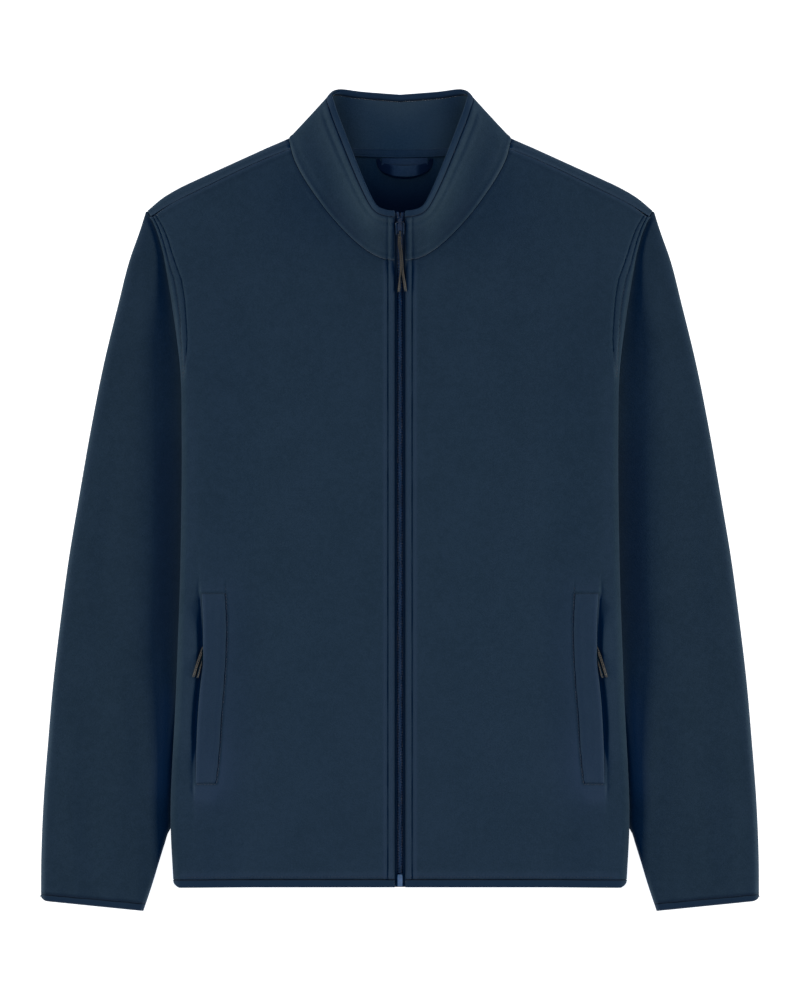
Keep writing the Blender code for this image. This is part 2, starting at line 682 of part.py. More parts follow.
def slider_frame():
    """Place of the slider: on the tapes, turned up with the collar's slope."""
    neck, top = collar_ring("neck", [13.0])[0], collar_ring("top", [13.0])[0]
    slope = math.atan2(top[2] - neck[2], top[1] - neck[1])
    z = neck[2] + (SLIDER_H - neck[1]) * math.tan(slope)
    place = Vector((0.0, (SLIDER_H + HEM_Y) * MM, z * MM))
    return Matrix.Translation(place) @ Matrix.Rotation(slope, 4, "X")


def box_mesh(name, low, high, bevel=0.0):
    bm = bmesh.new()
    bmesh.ops.create_cube(bm, size=1.0)
    low, high = np.array(low) * MM, np.array(high) * MM
    bmesh.ops.scale(bm, vec=high - low, verts=bm.verts)
    bmesh.ops.translate(bm, vec=(low + high) / 2, verts=bm.verts)
    if bevel:
        bmesh.ops.bevel(bm, geom=list(bm.edges), offset=bevel * MM, segments=2, affect="EDGES")
    mesh = bpy.data.meshes.new(name)
    bm.to_mesh(mesh)
    bm.free()
    return mesh


def rod_mesh(name, radius, x_low, x_high, y, z, sides=16):
    bm = bmesh.new()
    bmesh.ops.create_cone(bm, cap_ends=True, segments=sides, radius1=radius * MM,
                          radius2=radius * MM, depth=(x_high - x_low) * MM)
    turn = Matrix.Rotation(math.pi / 2, 4, "Y")
    bmesh.ops.transform(bm, matrix=Matrix.Translation(((x_low + x_high) / 2 * MM, y * MM, z * MM))
                        @ turn, verts=bm.verts)
    mesh = bpy.data.meshes.new(name)
    bm.to_mesh(mesh)
    bm.free()
    return mesh


def outline_mesh(name, outline, z_low, z_high):
    """A flat outline (x, y) drawn up from one height to another."""
    bm = bmesh.new()
    face = bm.faces.new([bm.verts.new((x * MM, y * MM, z_low * MM)) for x, y in outline])
    up = bmesh.ops.extrude_face_region(bm, geom=[face])
    verts = [item for item in up["geom"] if isinstance(item, bmesh.types.BMVert)]
    bmesh.ops.translate(bm, vec=(0, 0, (z_high - z_low) * MM), verts=verts)
    bmesh.ops.recalc_face_normals(bm, faces=bm.faces)
    mesh = bpy.data.meshes.new(name)
    bm.to_mesh(mesh)
    bm.free()
    return mesh


cutters = bpy.data.collections.new(NAME + "_cutters")


def helper(mesh):
    obj = bpy.data.objects.new(mesh.name, mesh)
    cutters.objects.link(obj)
    obj.hide_render = True
    obj.display_type = "WIRE"
    return obj


def combine(obj, mesh, operation, frame=Matrix()):
    tool = helper(mesh)
    tool.matrix_world = frame
    step = obj.modifiers.new(mesh.name, "BOOLEAN")
    step.operation = operation
    step.object = tool


def slider_levels():
    bottom = -TAPE_DEEP + GAP
    top = bottom + SLIDER_SIZE[2]
    return bottom, top, top + PIN_ABOVE


def make_slider():
    frame = slider_frame()
    bottom, top, pin_z = slider_levels()
    half_x, half_y = SLIDER_SIZE[0] / 2, SLIDER_SIZE[1] / 2
    obj = add_object("zip_slider", box_mesh("zip_slider", (-half_x, -half_y, bottom),
                                            (half_x, half_y, top), 0.5), SLIDER_NAVY)
    obj.matrix_world = frame
    ear_out = EAR_IN + EAR_THICK
    for x_low, word in ((EAR_IN, "a"), (-ear_out, "b")):
        ear = box_mesh(f"ear_{word}", (x_low, -1.2, top - 1.0),
                       (x_low + EAR_THICK, 1.2, pin_z + PIN_R + 0.4))
        combine(obj, ear, "UNION", frame)
    pin = rod_mesh("pin", PIN_R, -EAR_IN - 0.5, EAR_IN + 0.5, 0.0, pin_z)
    combine(obj, pin, "UNION", frame)


def make_pull_tab():
    """The tab in its own frame: the knuckle's axis is the local origin, the plate runs down -Y."""
    frame = slider_frame() @ Matrix.Translation((0, 0, slider_levels()[2] * MM))
    half = KNUCKLE_WIDTH / 2
    obj = add_object("zip_pull_tab", rod_mesh("zip_pull_tab", KNUCKLE_R, -half, half, 0, 0, 20),
                     SLIDER_NAVY)
    obj.matrix_world = frame
    tip = -TAB_LENGTH - 1.5
    plate = outline_mesh("plate", [(-1.3, -1.4), (-1.3, -3.3), (-TAB_WIDTH / 2, -4.6),
                                   (-TAB_WIDTH / 2, tip + 1.4), (-TAB_WIDTH / 2 + 1.4, tip),
                                   (TAB_WIDTH / 2 - 1.4, tip), (TAB_WIDTH / 2, tip + 1.4),
                                   (TAB_WIDTH / 2, -4.6), (1.3, -3.3), (1.3, -1.4)],
                         -TAB_THICK / 2, TAB_THICK / 2)
    combine(obj, plate, "UNION", frame)
    bore = rod_mesh("bore", KNUCKLE_BORE, -half - 1, half + 1, 0, 0, 20)
    combine(obj, bore, "DIFFERENCE", frame)
    eye = rod_mesh("eye", EYE_R, -2, 2, 0, 0, 16)
    turn = (Matrix.Translation((0, (-TAB_LENGTH - 1.5 + EYE_FROM_END) * MM, 0))
            @ Matrix.Rotation(math.pi / 2, 4, "Y"))
    combine(obj, eye, "DIFFERENCE", frame @ turn)


def tube(name, points, radius, look, side=1):
    """A lace: a smooth curve through the points, as a tube."""
    points = np.array(points, dtype=float)
    step = np.linalg.norm(np.diff(points, axis=0), axis=1)
    at = np.concatenate([[0], np.cumsum(step)])
    count = max(6, int(at[-1] / 5.0) + 1)
    fine = np.linspace(0, at[-1], count)
    route = np.stack([through(at, points[:, k], fine) for k in range(3)], axis=1)
    curve = bpy.data.curves.new(name, "CURVE")
    curve.dimensions = "3D"
    curve.bevel_depth = radius * MM
    curve.bevel_resolution = 2
    curve.use_fill_caps = True
    line = curve.splines.new("POLY")
    line.points.add(len(route) - 1)
    for point, place in zip(line.points, world(route, side)):
        point.co = (*place, 1.0)
    return add_object(name, curve, look)


def make_bight():
    """The lace's bend through the eye: half a turn over the tab's end, seen from its side."""
    frame = slider_frame() @ Matrix.Translation((0, 0, slider_levels()[2] * MM))
    tip = -TAB_LENGTH - 1.5
    above = TAB_THICK / 2 + GAP + BIGHT_R
    side = [(tip - 1.8, above - 0.5), (tip - 0.4, above), (tip + EYE_FROM_END - 0.6, above - 0.2),
            (tip + EYE_FROM_END, above - 1.0)]
    curve = bpy.data.curves.new("zip_lace_bight", "CURVE")
    curve.dimensions = "3D"
    curve.bevel_depth = BIGHT_R * MM
    curve.bevel_resolution = 2
    curve.use_fill_caps = True
    route = side + [(tip + EYE_FROM_END, 0.0)] + [(y, -z) for y, z in reversed(side)]
    line = curve.splines.new("POLY")
    line.points.add(len(route) - 1)
    for point, (y, z) in zip(line.points, route):
        point.co = (0.0, y * MM, z * MM, 1.0)
    obj = add_object("zip_lace_bight", curve, LACE_BROWN)
    obj.matrix_world = frame


def make_laces():
    make_bight()
    tube("zip_lace_left", LACE_LEFT, LACE_R, LACE_BROWN)
    tube("zip_lace_right", LACE_RIGHT, LACE_R, LACE_BROWN)


# The pockets

def make_pockets():
    hs = np.linspace(WELT[0]["h"], WELT[-1]["h"], 13)
    heights = column(WELT, "h")
    outer = through(heights, column(WELT, "outer"), hs)
    inner = through(heights, column(WELT, "inner"), hs)
    shares = np.array([0.0, 0.2, 0.45, 0.7, 1.0])
    x = inner[:, None] + (outer - inner)[:, None] * shares
    h = np.repeat(hs[:, None], len(shares), axis=1)
    ends = smooth(np.minimum(hs - hs[-1], hs[0] - hs) / 12.0)[:, None]
    rise = GAP + (WELT_RISE - GAP) * smooth(shares / 0.7) * ends
    welt = np.stack([x, h, front_top(x, h) + rise + WELT_THICK], axis=2)
    zip_h = np.linspace(WELT[0]["h"] - 14, WELT[-1]["h"] + 14, 11)
    edge = through(heights, column(WELT, "outer"), zip_h)
    chain = np.array([[(e + offset, hh, float(front_top(e + offset, hh)) + GAP + POCKET_TAPE)
                       for offset in (-8.0, 0.8)] for e, hh in zip(edge, zip_h)])
    size = POCKET_SLIDER
    place_x = float(through(heights, column(WELT, "outer"), size["h"])) - size["width"] / 2 - 1.0
    place_z = float(front_top(place_x, size["h"])) + 2 * GAP + POCKET_TAPE
    low = np.array([place_x - size["width"] / 2, size["h"] - size["length"] / 2, place_z])
    high = low + np.array([size["width"], size["length"], size["thick"]])
    for word, side in SIDES:
        cloth(f"pocket_welt_{word}", [world(welt, side)], WELT_THICK, NAVY, flip=side > 0)
        cloth(f"pocket_zip_{word}", [world(chain, side)], POCKET_TAPE, ZIP_NAVY, flip=side > 0)
        ends_x = sorted((low[0] * side, high[0] * side))
        add_object(f"pocket_slider_{word}",
                   box_mesh(f"pocket_slider_{word}", (ends_x[0], low[1] + HEM_Y, low[2]),
                            (ends_x[1], high[1] + HEM_Y, high[2]), 0.4), SLIDER_NAVY)
        for letter, tail in (("a", POCKET_LACE_A), ("b", POCKET_LACE_B)):
            points = [(px, ph, float(front_top(px, ph)) + above) for px, ph, above in tail]
            tube(f"pocket_lace_{word}_{letter}", points, LACE_R, LACE_BROWN, side)


# Inside the neck

def make_neck():
    xs = np.linspace(-62, 62, 15)
    low = 701.0 + 0.0009 * xs**2
    base = COLLAR_WALL + 0.2 + GAP
    grid = np.array([[(x, hh + rise, base + 0.9) for x, hh in zip(xs, low)]
                     for rise in (-1.0, 9.0)])
    cloth("neck_tape", [world(grid)], 0.9, NAVY)
    angles = np.radians(np.linspace(180, 360, 13))
    loop = []
    for radius_x, radius_h in ((29.0, 19.0), (19.0, 10.0)):
        loop.append([(radius_x * math.cos(a), 699.5 + radius_h * math.sin(a), base + 2.0)
                     for a in angles])
    cloth("hanger_loop", [world(np.array(loop))], 1.2, BINDING_NAVY)


def main():
    clear_scene()
    bpy.context.scene.collection.children.link(collection)
    bpy.context.scene.collection.children.link(cutters)
    make_fronts()
    make_back()
    make_sleeves()
    make_collar()
    make_hem_binding()
    make_zip()
    make_slider()
    make_pull_tab()
    make_laces()
    make_pockets()
    make_neck()
    bpy.context.view_layer.update()


main()
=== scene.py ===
import math

import bpy
import numpy as np
from mathutils import Matrix, Vector


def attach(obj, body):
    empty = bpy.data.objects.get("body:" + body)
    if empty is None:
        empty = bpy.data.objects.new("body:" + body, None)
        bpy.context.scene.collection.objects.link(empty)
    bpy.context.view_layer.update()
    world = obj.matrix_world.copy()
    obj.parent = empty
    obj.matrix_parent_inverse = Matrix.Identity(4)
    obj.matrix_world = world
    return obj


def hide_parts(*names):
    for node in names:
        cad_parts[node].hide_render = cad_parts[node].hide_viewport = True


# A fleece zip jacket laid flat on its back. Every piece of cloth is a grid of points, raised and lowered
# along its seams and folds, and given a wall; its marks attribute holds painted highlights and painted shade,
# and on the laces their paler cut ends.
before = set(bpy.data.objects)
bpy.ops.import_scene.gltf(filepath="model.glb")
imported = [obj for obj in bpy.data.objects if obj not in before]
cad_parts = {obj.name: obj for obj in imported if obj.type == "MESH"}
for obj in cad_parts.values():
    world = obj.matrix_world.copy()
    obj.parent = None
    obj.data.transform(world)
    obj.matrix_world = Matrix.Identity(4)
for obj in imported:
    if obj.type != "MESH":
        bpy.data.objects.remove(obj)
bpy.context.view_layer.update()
scene = bpy.context.scene

# Everything is worked out in millimetres on the table: x to the wearer's left, h up from the hem,
# z up from the table. onTable() turns that into metres in the jacket's frame.
mm = 0.001
jacket = dict(hemY=-372.3, gap=0.3, wall=2.0, zipSlot=5.1, roll=8.0, seamIn=40.0, underarmH=463.0,
              sideTopH=492.0, neckH=602.0, frontMiddle=13.0, sidePuff=8.4, puffWidth=70.0,
              bodyLift=6.0, liftMargin=8.0, liftRamp=30.0, seamLow=4.6, seamHigh=7.0, seamEase=0.5,
              hemBinding=7.7, collarWall=2.6, collarBinding=7.0, bindingWall=3.0)

bodyEdgeTable = dict(h=[0, 60, 180, 325, 440, 492, 541, 589, 613, 637, 649.3],
                     half=[217.4, 220.2, 215.2, 210.5, 209.6, 210.6, 216.5, 224.0, 228.5, 236.4, 243.0])
centreFrontTable = dict(h=[0, 120, 500, 560, 602], z=[12.4, 13.0, 13.4, 16.4, 22.0])
sleeveOuterTable = dict(
    h=[648.8, 632, 603, 559.7, 501.9, 444.1, 371.9, 314.1, 256.3, 198.5, 140.7, 82.9, 25, -13.5],
    half=[244.3, 249.5, 259.6, 270.7, 284.7, 296.2, 308.8, 318.4, 326.1, 332.9, 337.9, 342.3, 344.6, 344.8])
sleeveInnerTable = dict(
    h=[463, 448, 430, 400, 318, 205, 120, 80, 64, 57, 52.7, 43.1, 23.8, 4.4, -22.5],
    half=[171, 165.8, 160.8, 158, 168.5, 188, 204.2, 213.2, 217.3, 220.0, 222.5, 225.6, 231.6, 237.4, 246.3])
backArmholeTable = dict(h=[463, 480, 506, 545, 590, 625, 646.8],
                        half=[171, 182.5, 192.5, 203, 214, 226, 240.8])
shoulderTable = dict(foldX=[106.5, 132, 160, 186, 207, 224, 242.6],
                     foldH=[719.5, 708.3, 695.6, 683.8, 674.2, 665.4, 650.0],
                     seamX=[104.5, 129.5, 155.5, 181, 203, 221.5, 239.6],
                     seamH=[709.8, 700, 688.2, 675.8, 665.3, 655.8, 644.6],
                     top=[15, 13, 12.3, 11.5, 10.3, 9, 7.2])
collarTable = dict(
    neckX=[0, 48, 84, 101, 106.5, 104.5, 100.5, 91.5, 78, 64, 47, 32, 18, 5.1],
    neckH=[702, 704, 709.5, 716.5, 719.5, 709.8, 697, 680, 660, 642, 624, 611.5, 604.2, 602],
    neckZ=[0.2, 0.2, 0.4, 3, 8.5, 15, 17.2, 18.4, 19.3, 20, 20.8, 21.5, 22, 22],
    topX=[0, 36, 55, 62.5, 66, 63.5, 59.5, 53.5, 46.5, 37.5, 28, 22, 13.5, 5.1],
    topH=[761.6, 764.4, 766.9, 766.4, 762.3, 754, 742, 726, 707, 684, 662, 652.5, 648.6, 647.5],
    topZ=[0.2, 0.3, 1, 5, 11.5, 19, 23, 27.5, 33.5, 42, 51, 55.8, 58.6, 59])
sleeveStations = dict(
    outerH=[648.8, 622, 590, 550, 505, 455, 396, 332, 268, 204, 140, 84, 36, -6.3],
    innerH=[463, 456, 448, 438, 426, 408, 374, 318, 260, 198, 134, 76, 28, -15.4],
    armhole=[1.0, 1.05, 0.98, 0.8, 0.55, 0.3, 0.1, 0, 0, 0, 0, 0, 0, 0])
weltTable = dict(h=[282.5, 255.6, 236.4, 217.2, 198.0, 178.8, 159.6, 140.4, 121.2, 100.1],
                 outer=[190.2, 188.9, 188.9, 188.9, 190.9, 192.8, 194.1, 195.0, 195.6, 195.9],
                 inner=[168.0, 166.7, 166.8, 167.5, 168.7, 170.2, 171.8, 172.8, 174.4, 176.8])
lowRows = [8.0, 45, 90, 150, 215, 285, 355, 415, 463]    # heights of the back's rows up to the underarm
frontNeckRows = [13, 12.1, 11.3, 9.8, 8, 6.4, 5]          # rows of collarTable along each panel's neckline
backNeckRows = [0, 0.6, 1.3, 2, 2.6, 3.1]
shoulderNeckRows = [3.6, 4.05, 4.5, 4.75, 5]
bodyTopH = bodyEdgeTable["h"][-1]
sides = (("left", 1), ("right", -1))


def smooth(t):
    t = np.clip(t, 0.0, 1.0)
    return t * t * (3.0 - 2.0 * t)


def bell(distance, width):
    return np.exp(-(np.asarray(distance) / width) ** 2)  # a soft hill, 1 at its middle


def ramp(distance, width):
    return np.clip(1 - distance / width, 0, 1)  # 1 at a border, straight down to 0 at the width


def dip(distance, width):
    return ramp(distance, width) ** 2  # the same, easing out: how a border is rounded off


def through(xs, ys, at):
    # a smooth curve through the points: cubic pieces with the slopes of their neighbours
    xs, ys = np.array(xs, dtype=float), np.array(ys, dtype=float)
    order = np.argsort(xs)
    xs, ys = xs[order], ys[order]
    slope = np.gradient(ys, xs)
    at = np.asarray(at, dtype=float)
    inside = np.clip(at, xs[0], xs[-1])
    i = np.clip(np.searchsorted(xs, inside) - 1, 0, len(xs) - 2)
    step = xs[i + 1] - xs[i]
    t = (inside - xs[i]) / step
    value = ((2 * t**3 - 3 * t**2 + 1) * ys[i] + (t**3 - 2 * t**2 + t) * step * slope[i]
             + (3 * t**2 - 2 * t**3) * ys[i + 1] + (t**3 - t**2) * step * slope[i + 1])
    return value + (at - inside) * np.where(at > inside, slope[-1], slope[0])


def fromTable(table, h, key="half"):
    return through(table["h"], table[key], h)


def bodyEdge(h):
    return fromTable(bodyEdgeTable, h)


def centreFrontZ(h):
    return fromTable(centreFrontTable, h, "z")


def weltEdges(h):
    # the welt's opening edge and its stitched edge
    return fromTable(weltTable, h, "outer"), fromTable(weltTable, h, "inner")


def underSeam(h):
    # how much of the wrapped side there is: 1 below the underarm point, 0 above the side's top
    span = jacket["sideTopH"] - jacket["underarmH"]
    return np.clip((jacket["sideTopH"] - h) / span, 0.0, 1.0)


def distanceTo(line, x, h):
    # shortest distance from each point (x, h) to a line of points, piece by piece
    best = np.full(np.shape(x), 1e9)
    for (ax, ah), (bx, bh) in zip(line[:-1], line[1:]):
        dx, dh = bx - ax, bh - ah
        t = np.clip(((x - ax) * dx + (h - ah) * dh) / (dx * dx + dh * dh + 1e-12), 0, 1)
        best = np.minimum(best, np.hypot(x - ax - t * dx, h - ah - t * dh))
    return best


def liftUnder(x, h):
    # height of the body's underside: on the table, and up over the sleeve that lies under it.
    # the last four rows of the sleeve's inner edge lie outside the body's edge
    heights = np.array([jacket["sideTopH"]] + sleeveInnerTable["h"][:-4], dtype=float)
    halves = np.array([float(bodyEdge(jacket["sideTopH"]))] + sleeveInnerTable["half"][:-4], dtype=float)
    x, h = np.broadcast_arrays(np.asarray(x, float), np.asarray(h, float))
    away = distanceTo(np.column_stack([halves, heights]), x, h)
    order = np.argsort(heights)
    border = np.interp(h, heights[order], halves[order])
    within = (x > border) & (h < jacket["sideTopH"]) & (h > heights[-1])
    clear = np.where(within, 0.0, np.maximum(away - jacket["liftMargin"], 0.0))
    return jacket["bodyLift"] * smooth(1.0 - clear / jacket["liftRamp"])


def frontTop(x, h):
    # top of the front: flat, a little higher along the sides and beside the zip
    nearSide = smooth(1.0 - (bodyEdge(h) - jacket["roll"] - x) / jacket["puffWidth"])
    nearZip = smooth(1.0 - (x - jacket["zipSlot"]) / 60.0)
    middle = jacket["frontMiddle"] + (centreFrontZ(h) - jacket["frontMiddle"]) * nearZip
    return middle + jacket["sidePuff"] * nearSide


def collarRing(edge, rows):
    at = np.arange(len(collarTable["neckX"]), dtype=float)
    return np.stack([through(at, collarTable[edge + axis], rows) for axis in "XHZ"], axis=-1)


def neckEdge(rows):
    # the panels' side of the neck seam: kept a little away from the collar
    neck, top = collarRing("neck", rows), collarRing("top", rows)
    away = neck - top
    return neck + away / np.linalg.norm(away, axis=-1, keepdims=True) * jacket["seamEase"]


def coons(bottom, top, left, right, u, v):
    # a patch between four border curves: both ways ruled, less the corners counted twice
    u, v = u[None, :, None], v[:, None, None]
    ruled = (1 - v) * bottom[None] + v * top[None] + (1 - u) * left[:, None] + u * right[:, None]
    corners = ((1 - u) * (1 - v) * bottom[0] + u * (1 - v) * bottom[-1]
               + (1 - u) * v * top[0] + u * v * top[-1])
    return ruled - corners


def lengthAlong(points):
    step = np.linalg.norm(np.diff(points, axis=0), axis=1)
    return np.concatenate([[0], np.cumsum(step)])


def along(points, shares):
    at = lengthAlong(points)
    return np.stack([np.interp(np.asarray(shares) * at[-1], at, points[:, k])
                     for k in range(points.shape[1])], axis=1)


def refine(grid, rows, columns, breaks=()):
    # cubic pieces through a coarse grid, first up its rows, then across its columns
    def oneWay(points, at, stops):
        length = np.linalg.norm(np.diff(points, axis=0), axis=-1).mean(axis=tuple(range(1, points.ndim - 1)))
        s = np.concatenate([[0], np.cumsum(np.maximum(length, 1e-6))])
        where = np.interp(at, np.arange(len(s)), s)
        out = np.zeros((len(at),) + points.shape[1:])
        stops = [0, *stops, len(points) - 1]
        for low, high in zip(stops[:-1], stops[1:]):
            part, ss = points[low:high + 1], s[low:high + 1]
            slope = np.gradient(part, ss, axis=0) if len(part) > 2 else np.repeat(
                (part[1:] - part[:1]) / (ss[1] - ss[0]), 2, axis=0)
            chosen = (at >= low) & (at <= high)
            w = where[chosen]
            i = np.clip(np.searchsorted(ss, w) - 1, 0, len(ss) - 2)
            step = (ss[i + 1] - ss[i]).reshape((-1,) + (1,) * (points.ndim - 1))
            t = ((w - ss[i]) / (ss[i + 1] - ss[i])).reshape(step.shape)
            out[chosen] = ((2 * t**3 - 3 * t**2 + 1) * part[i] + (t**3 - 2 * t**2 + t) * step * slope[i]
                           + (3 * t**2 - 2 * t**3) * part[i + 1] + (t**3 - t**2) * step * slope[i + 1])
        return out
    tall = oneWay(grid, np.asarray(rows, float), breaks)
    wide = oneWay(np.swapaxes(tall, 0, 1), np.asarray(columns, float), ())
    return np.swapaxes(wide, 0, 1)


def steps(*stretches):
    # numbers in several even stretches: (from, to, how many steps)
    parts = [np.linspace(a, b, n, endpoint=False) for a, b, n in stretches]
    return np.concatenate(parts + [[stretches[-1][1]]])


def soften(values, times):
    # each number takes a quarter of both neighbours, along the rows
    out = values.copy()
    for _ in range(times):
        out[1:-1] = (out[:-2] + 2 * out[1:-1] + out[2:]) / 4
    return out


def normalsOf(points):
    across, up = np.gradient(points, axis=1), np.gradient(points, axis=0)
    normal = np.cross(across, up)
    return normal / np.maximum(np.linalg.norm(normal, axis=2, keepdims=True), 1e-9)


def closedNormals(points):
    # the same for a ring whose last column meets the first
    wide = np.concatenate([points[:, -1:], points, points[:, :1]], axis=1)
    return normalsOf(wide)[:, 1:-1]


def onTable(points, side=1):
    out = np.array(points, dtype=float)
    out[..., 0] *= side
    out[..., 1] += jacket["hemY"]
    return out * mm


def newPiece(name, vertices, faces, material, marks=None, uv=None):
    mesh = bpy.data.meshes.new(name)
    mesh.from_pydata(vertices, [], faces if isinstance(faces, list) else faces.tolist())
    if marks is not None:
        layer = mesh.attributes.new("paintedLightAndPaleEnds", "FLOAT", "POINT")
        layer.data.foreach_set("value", np.asarray(marks, dtype=np.float32).ravel())
    if uv is not None:
        corner = np.zeros(len(mesh.loops), dtype=np.int32)
        mesh.loops.foreach_get("vertex_index", corner)
        mesh.uv_layers.new(name="cloth").data.foreach_set("uv", uv.astype(np.float32)[corner].ravel())
    mesh.shade_smooth()
    mesh.materials.append(material)
    obj = bpy.data.objects.new(name, mesh)
    scene.collection.objects.link(obj)
    return obj


def quadsOf(a, b, c, d):
    return np.stack([a, b, c, d], axis=-1).reshape(-1, 4)


def tubeFaces(number):
    # number holds the points of tubes: one row per tube, then per ring, then round it.
    # quads between neighbouring rings, and a cap on both ends of every tube
    following = np.roll(number, -1, axis=2)
    quads = quadsOf(number[:, :-1], following[:, :-1], following[:, 1:], number[:, 1:])
    return quads.tolist() + number[:, 0, ::-1].tolist() + number[:, -1].tolist()


def turned(faces):
    return [face[::-1] for face in faces]


def inPlan(x, h, z):
    return np.stack([np.broadcast_to(x, h.shape), h, z], axis=2)


def shell(name, outer, wall, material, side=1, ring=False, marks=None, insideMarks=None, split=None):
    # a closed wall: the outer grid, the same grid moved in by the wall, and its open borders joined.
    # past the row split, the two middle columns are the borders of an opening; up to it they are one
    outer = np.array(outer, dtype=float)
    marks = np.zeros(outer.shape[:2]) if marks is None else np.array(marks, dtype=float)
    insideMarks = marks if insideMarks is None else np.array(insideMarks, dtype=float)
    if side < 0:
        outer[..., 0] *= -1
        outer, marks, insideMarks = outer[:, ::-1], marks[:, ::-1], insideMarks[:, ::-1]
    rows, columns = outer.shape[:2]
    number = np.arange(rows * columns).reshape(rows, columns)
    if ring:
        normal = closedNormals(outer)
        number = np.concatenate([number, number[:, :1]], axis=1)
    elif split is None:
        normal = normalsOf(outer)
    else:
        middle = columns // 2
        normal = np.concatenate([normalsOf(outer[:, :middle]), normalsOf(outer[:, middle:])], axis=1)
        number[:split + 1, middle] = number[:split + 1, middle - 1]
    inner = outer - normal * (wall if np.isscalar(wall) else np.asarray(wall)[..., None])
    shift = rows * columns
    cells = quadsOf(number[:-1, :-1], number[:-1, 1:], number[1:, 1:], number[1:, :-1])
    if split is not None:
        cells = np.delete(cells.reshape(rows - 1, -1, 4), middle - 1, axis=1).reshape(-1, 4)
    # the rim stands on every edge that only one cell has
    ends = np.stack([cells, np.roll(cells, -1, axis=1)], axis=-1).reshape(-1, 2)
    alone = ~np.isin(ends[:, 1] * shift + ends[:, 0], ends[:, 0] * shift + ends[:, 1])
    p, q = ends[alone].T
    quads = np.concatenate([cells, cells[:, ::-1] + shift, quadsOf(q, p, p + shift, q + shift)])
    acrossStep = np.linalg.norm(np.diff(outer, axis=1, prepend=outer[:, :1]), axis=2)
    upStep = np.linalg.norm(np.diff(outer, axis=0, prepend=outer[:1]), axis=2)
    uv = np.stack([np.cumsum(acrossStep, axis=1), np.cumsum(upStep, axis=0)], axis=-1) * mm
    uv = np.concatenate([uv.reshape(-1, 2)] * 2)
    vertices = onTable(np.concatenate([outer.reshape(-1, 3), inner.reshape(-1, 3)]))
    marks = np.concatenate([marks.ravel(), insideMarks.ravel()])
    used, quads = np.unique(quads, return_inverse=True)
    return newPiece(name, vertices[used], quads.reshape(-1, 4), material, marks[used], uv[used])


def tubeAlong(path, radius, sides=8):
    # a round profile carried along a path, its radius free to change: rings of points square to the
    # path's run, joined by quads, with both ends capped. Gives vertices and faces
    path = np.asarray(path, dtype=float)
    run = np.gradient(path, axis=0)
    run /= np.linalg.norm(run, axis=1, keepdims=True)
    up = np.array([0.0, 0.0, 1.0]) + 1e-3
    first = np.cross(run, up)
    first /= np.linalg.norm(first, axis=1, keepdims=True)
    second = np.cross(first, run)
    turn = np.linspace(0, 2 * np.pi, sides, endpoint=False)
    radius = np.broadcast_to(radius, len(path))[:, None, None]
    ringPoints = path[:, None] + radius * (np.cos(turn)[None, :, None] * first[:, None]
                                           + np.sin(turn)[None, :, None] * second[:, None])
    number = np.arange(len(path) * sides).reshape(len(path), sides)
    following = np.roll(number, -1, axis=1)
    quads = quadsOf(number[:-1], number[1:], following[1:], following[:-1])
    return ringPoints.reshape(-1, 3), quads.tolist() + [number[0].tolist(), number[-1, ::-1].tolist()]


def many(parts):
    # several (vertices, faces) joined into one list, with the faces renumbered
    vertices, faces, count = [], [], 0
    for points, loops in parts:
        vertices.append(points)
        faces.extend([[k + count for k in face] for face in loops])
        count += len(points)
    return np.concatenate(vertices), faces


def nodesOf(name):
    material = bpy.data.materials.new(name)
    material.use_nodes = True
    tree = material.node_tree
    return material, tree, tree.nodes["Principled BSDF"]


def addNode(tree, kind, **values):
    node = tree.nodes.new(kind)
    for key, value in values.items():
        if hasattr(node, key):
            setattr(node, key, value)
        else:
            node.inputs[key.replace("_", " ")].default_value = value
    return node


def objectCoords(tree):
    return addNode(tree, "ShaderNodeTexCoord").outputs["Object"]


# the marks: painted highlights and painted shade on the cloth, and the paler cut ends of the laces
def paintedLightAndPaleEndMarks(tree):
    return addNode(tree, "ShaderNodeAttribute", attribute_name="paintedLightAndPaleEnds").outputs["Fac"]


def setSockets(node, values):
    for socket, value in values.items():
        node.inputs[socket].default_value = value


def wave(tree, direction, scale, distortion, detail=2.0):
    # even stripes across the piece's own cloth map
    node = addNode(tree, "ShaderNodeTexWave", wave_type="BANDS", bands_direction=direction, Scale=scale,
                   Distortion=distortion, Detail=detail)
    tree.links.new(addNode(tree, "ShaderNodeUVMap", uv_map="cloth").outputs["UV"], node.inputs["Vector"])
    return node.outputs["Fac"]


def noise(tree, coords, scale, detail=2.0, roughness=0.5):
    node = addNode(tree, "ShaderNodeTexNoise", Scale=scale, Detail=detail, Roughness=roughness)
    tree.links.new(coords, node.inputs["Vector"])
    return node.outputs["Fac"]


def spread(tree, value, low, high, newLow=0.0, newHigh=1.0):
    node = addNode(tree, "ShaderNodeMapRange")
    for socket, number in zip(("From Min", "From Max", "To Min", "To Max"), (low, high, newLow, newHigh)):
        node.inputs[socket].default_value = number
    tree.links.new(value, node.inputs["Value"])
    return node.outputs["Result"]


def calculate(tree, operation, a, b):
    node = addNode(tree, "ShaderNodeMath", operation=operation)
    for socket, value in zip(node.inputs, (a, b)):
        if isinstance(value, (int, float)):
            socket.default_value = value
        else:
            tree.links.new(value, socket)
    return node.outputs[0]


def weighted(tree, a, shareA, b, shareB):
    partA, partB = calculate(tree, "MULTIPLY", a, shareA), calculate(tree, "MULTIPLY", b, shareB)
    return calculate(tree, "ADD", partA, partB)


def blendColours(tree, factor, a, b):
    node = addNode(tree, "ShaderNodeMix", data_type="RGBA")
    for socket, value in zip((node.inputs[0], node.inputs[6], node.inputs[7]), (factor, a, b)):
        if isinstance(value, tuple):
            socket.default_value = (*value, 1.0)
        elif isinstance(value, (int, float)):
            socket.default_value = value
        else:
            tree.links.new(value, socket)
    return node.outputs[2]


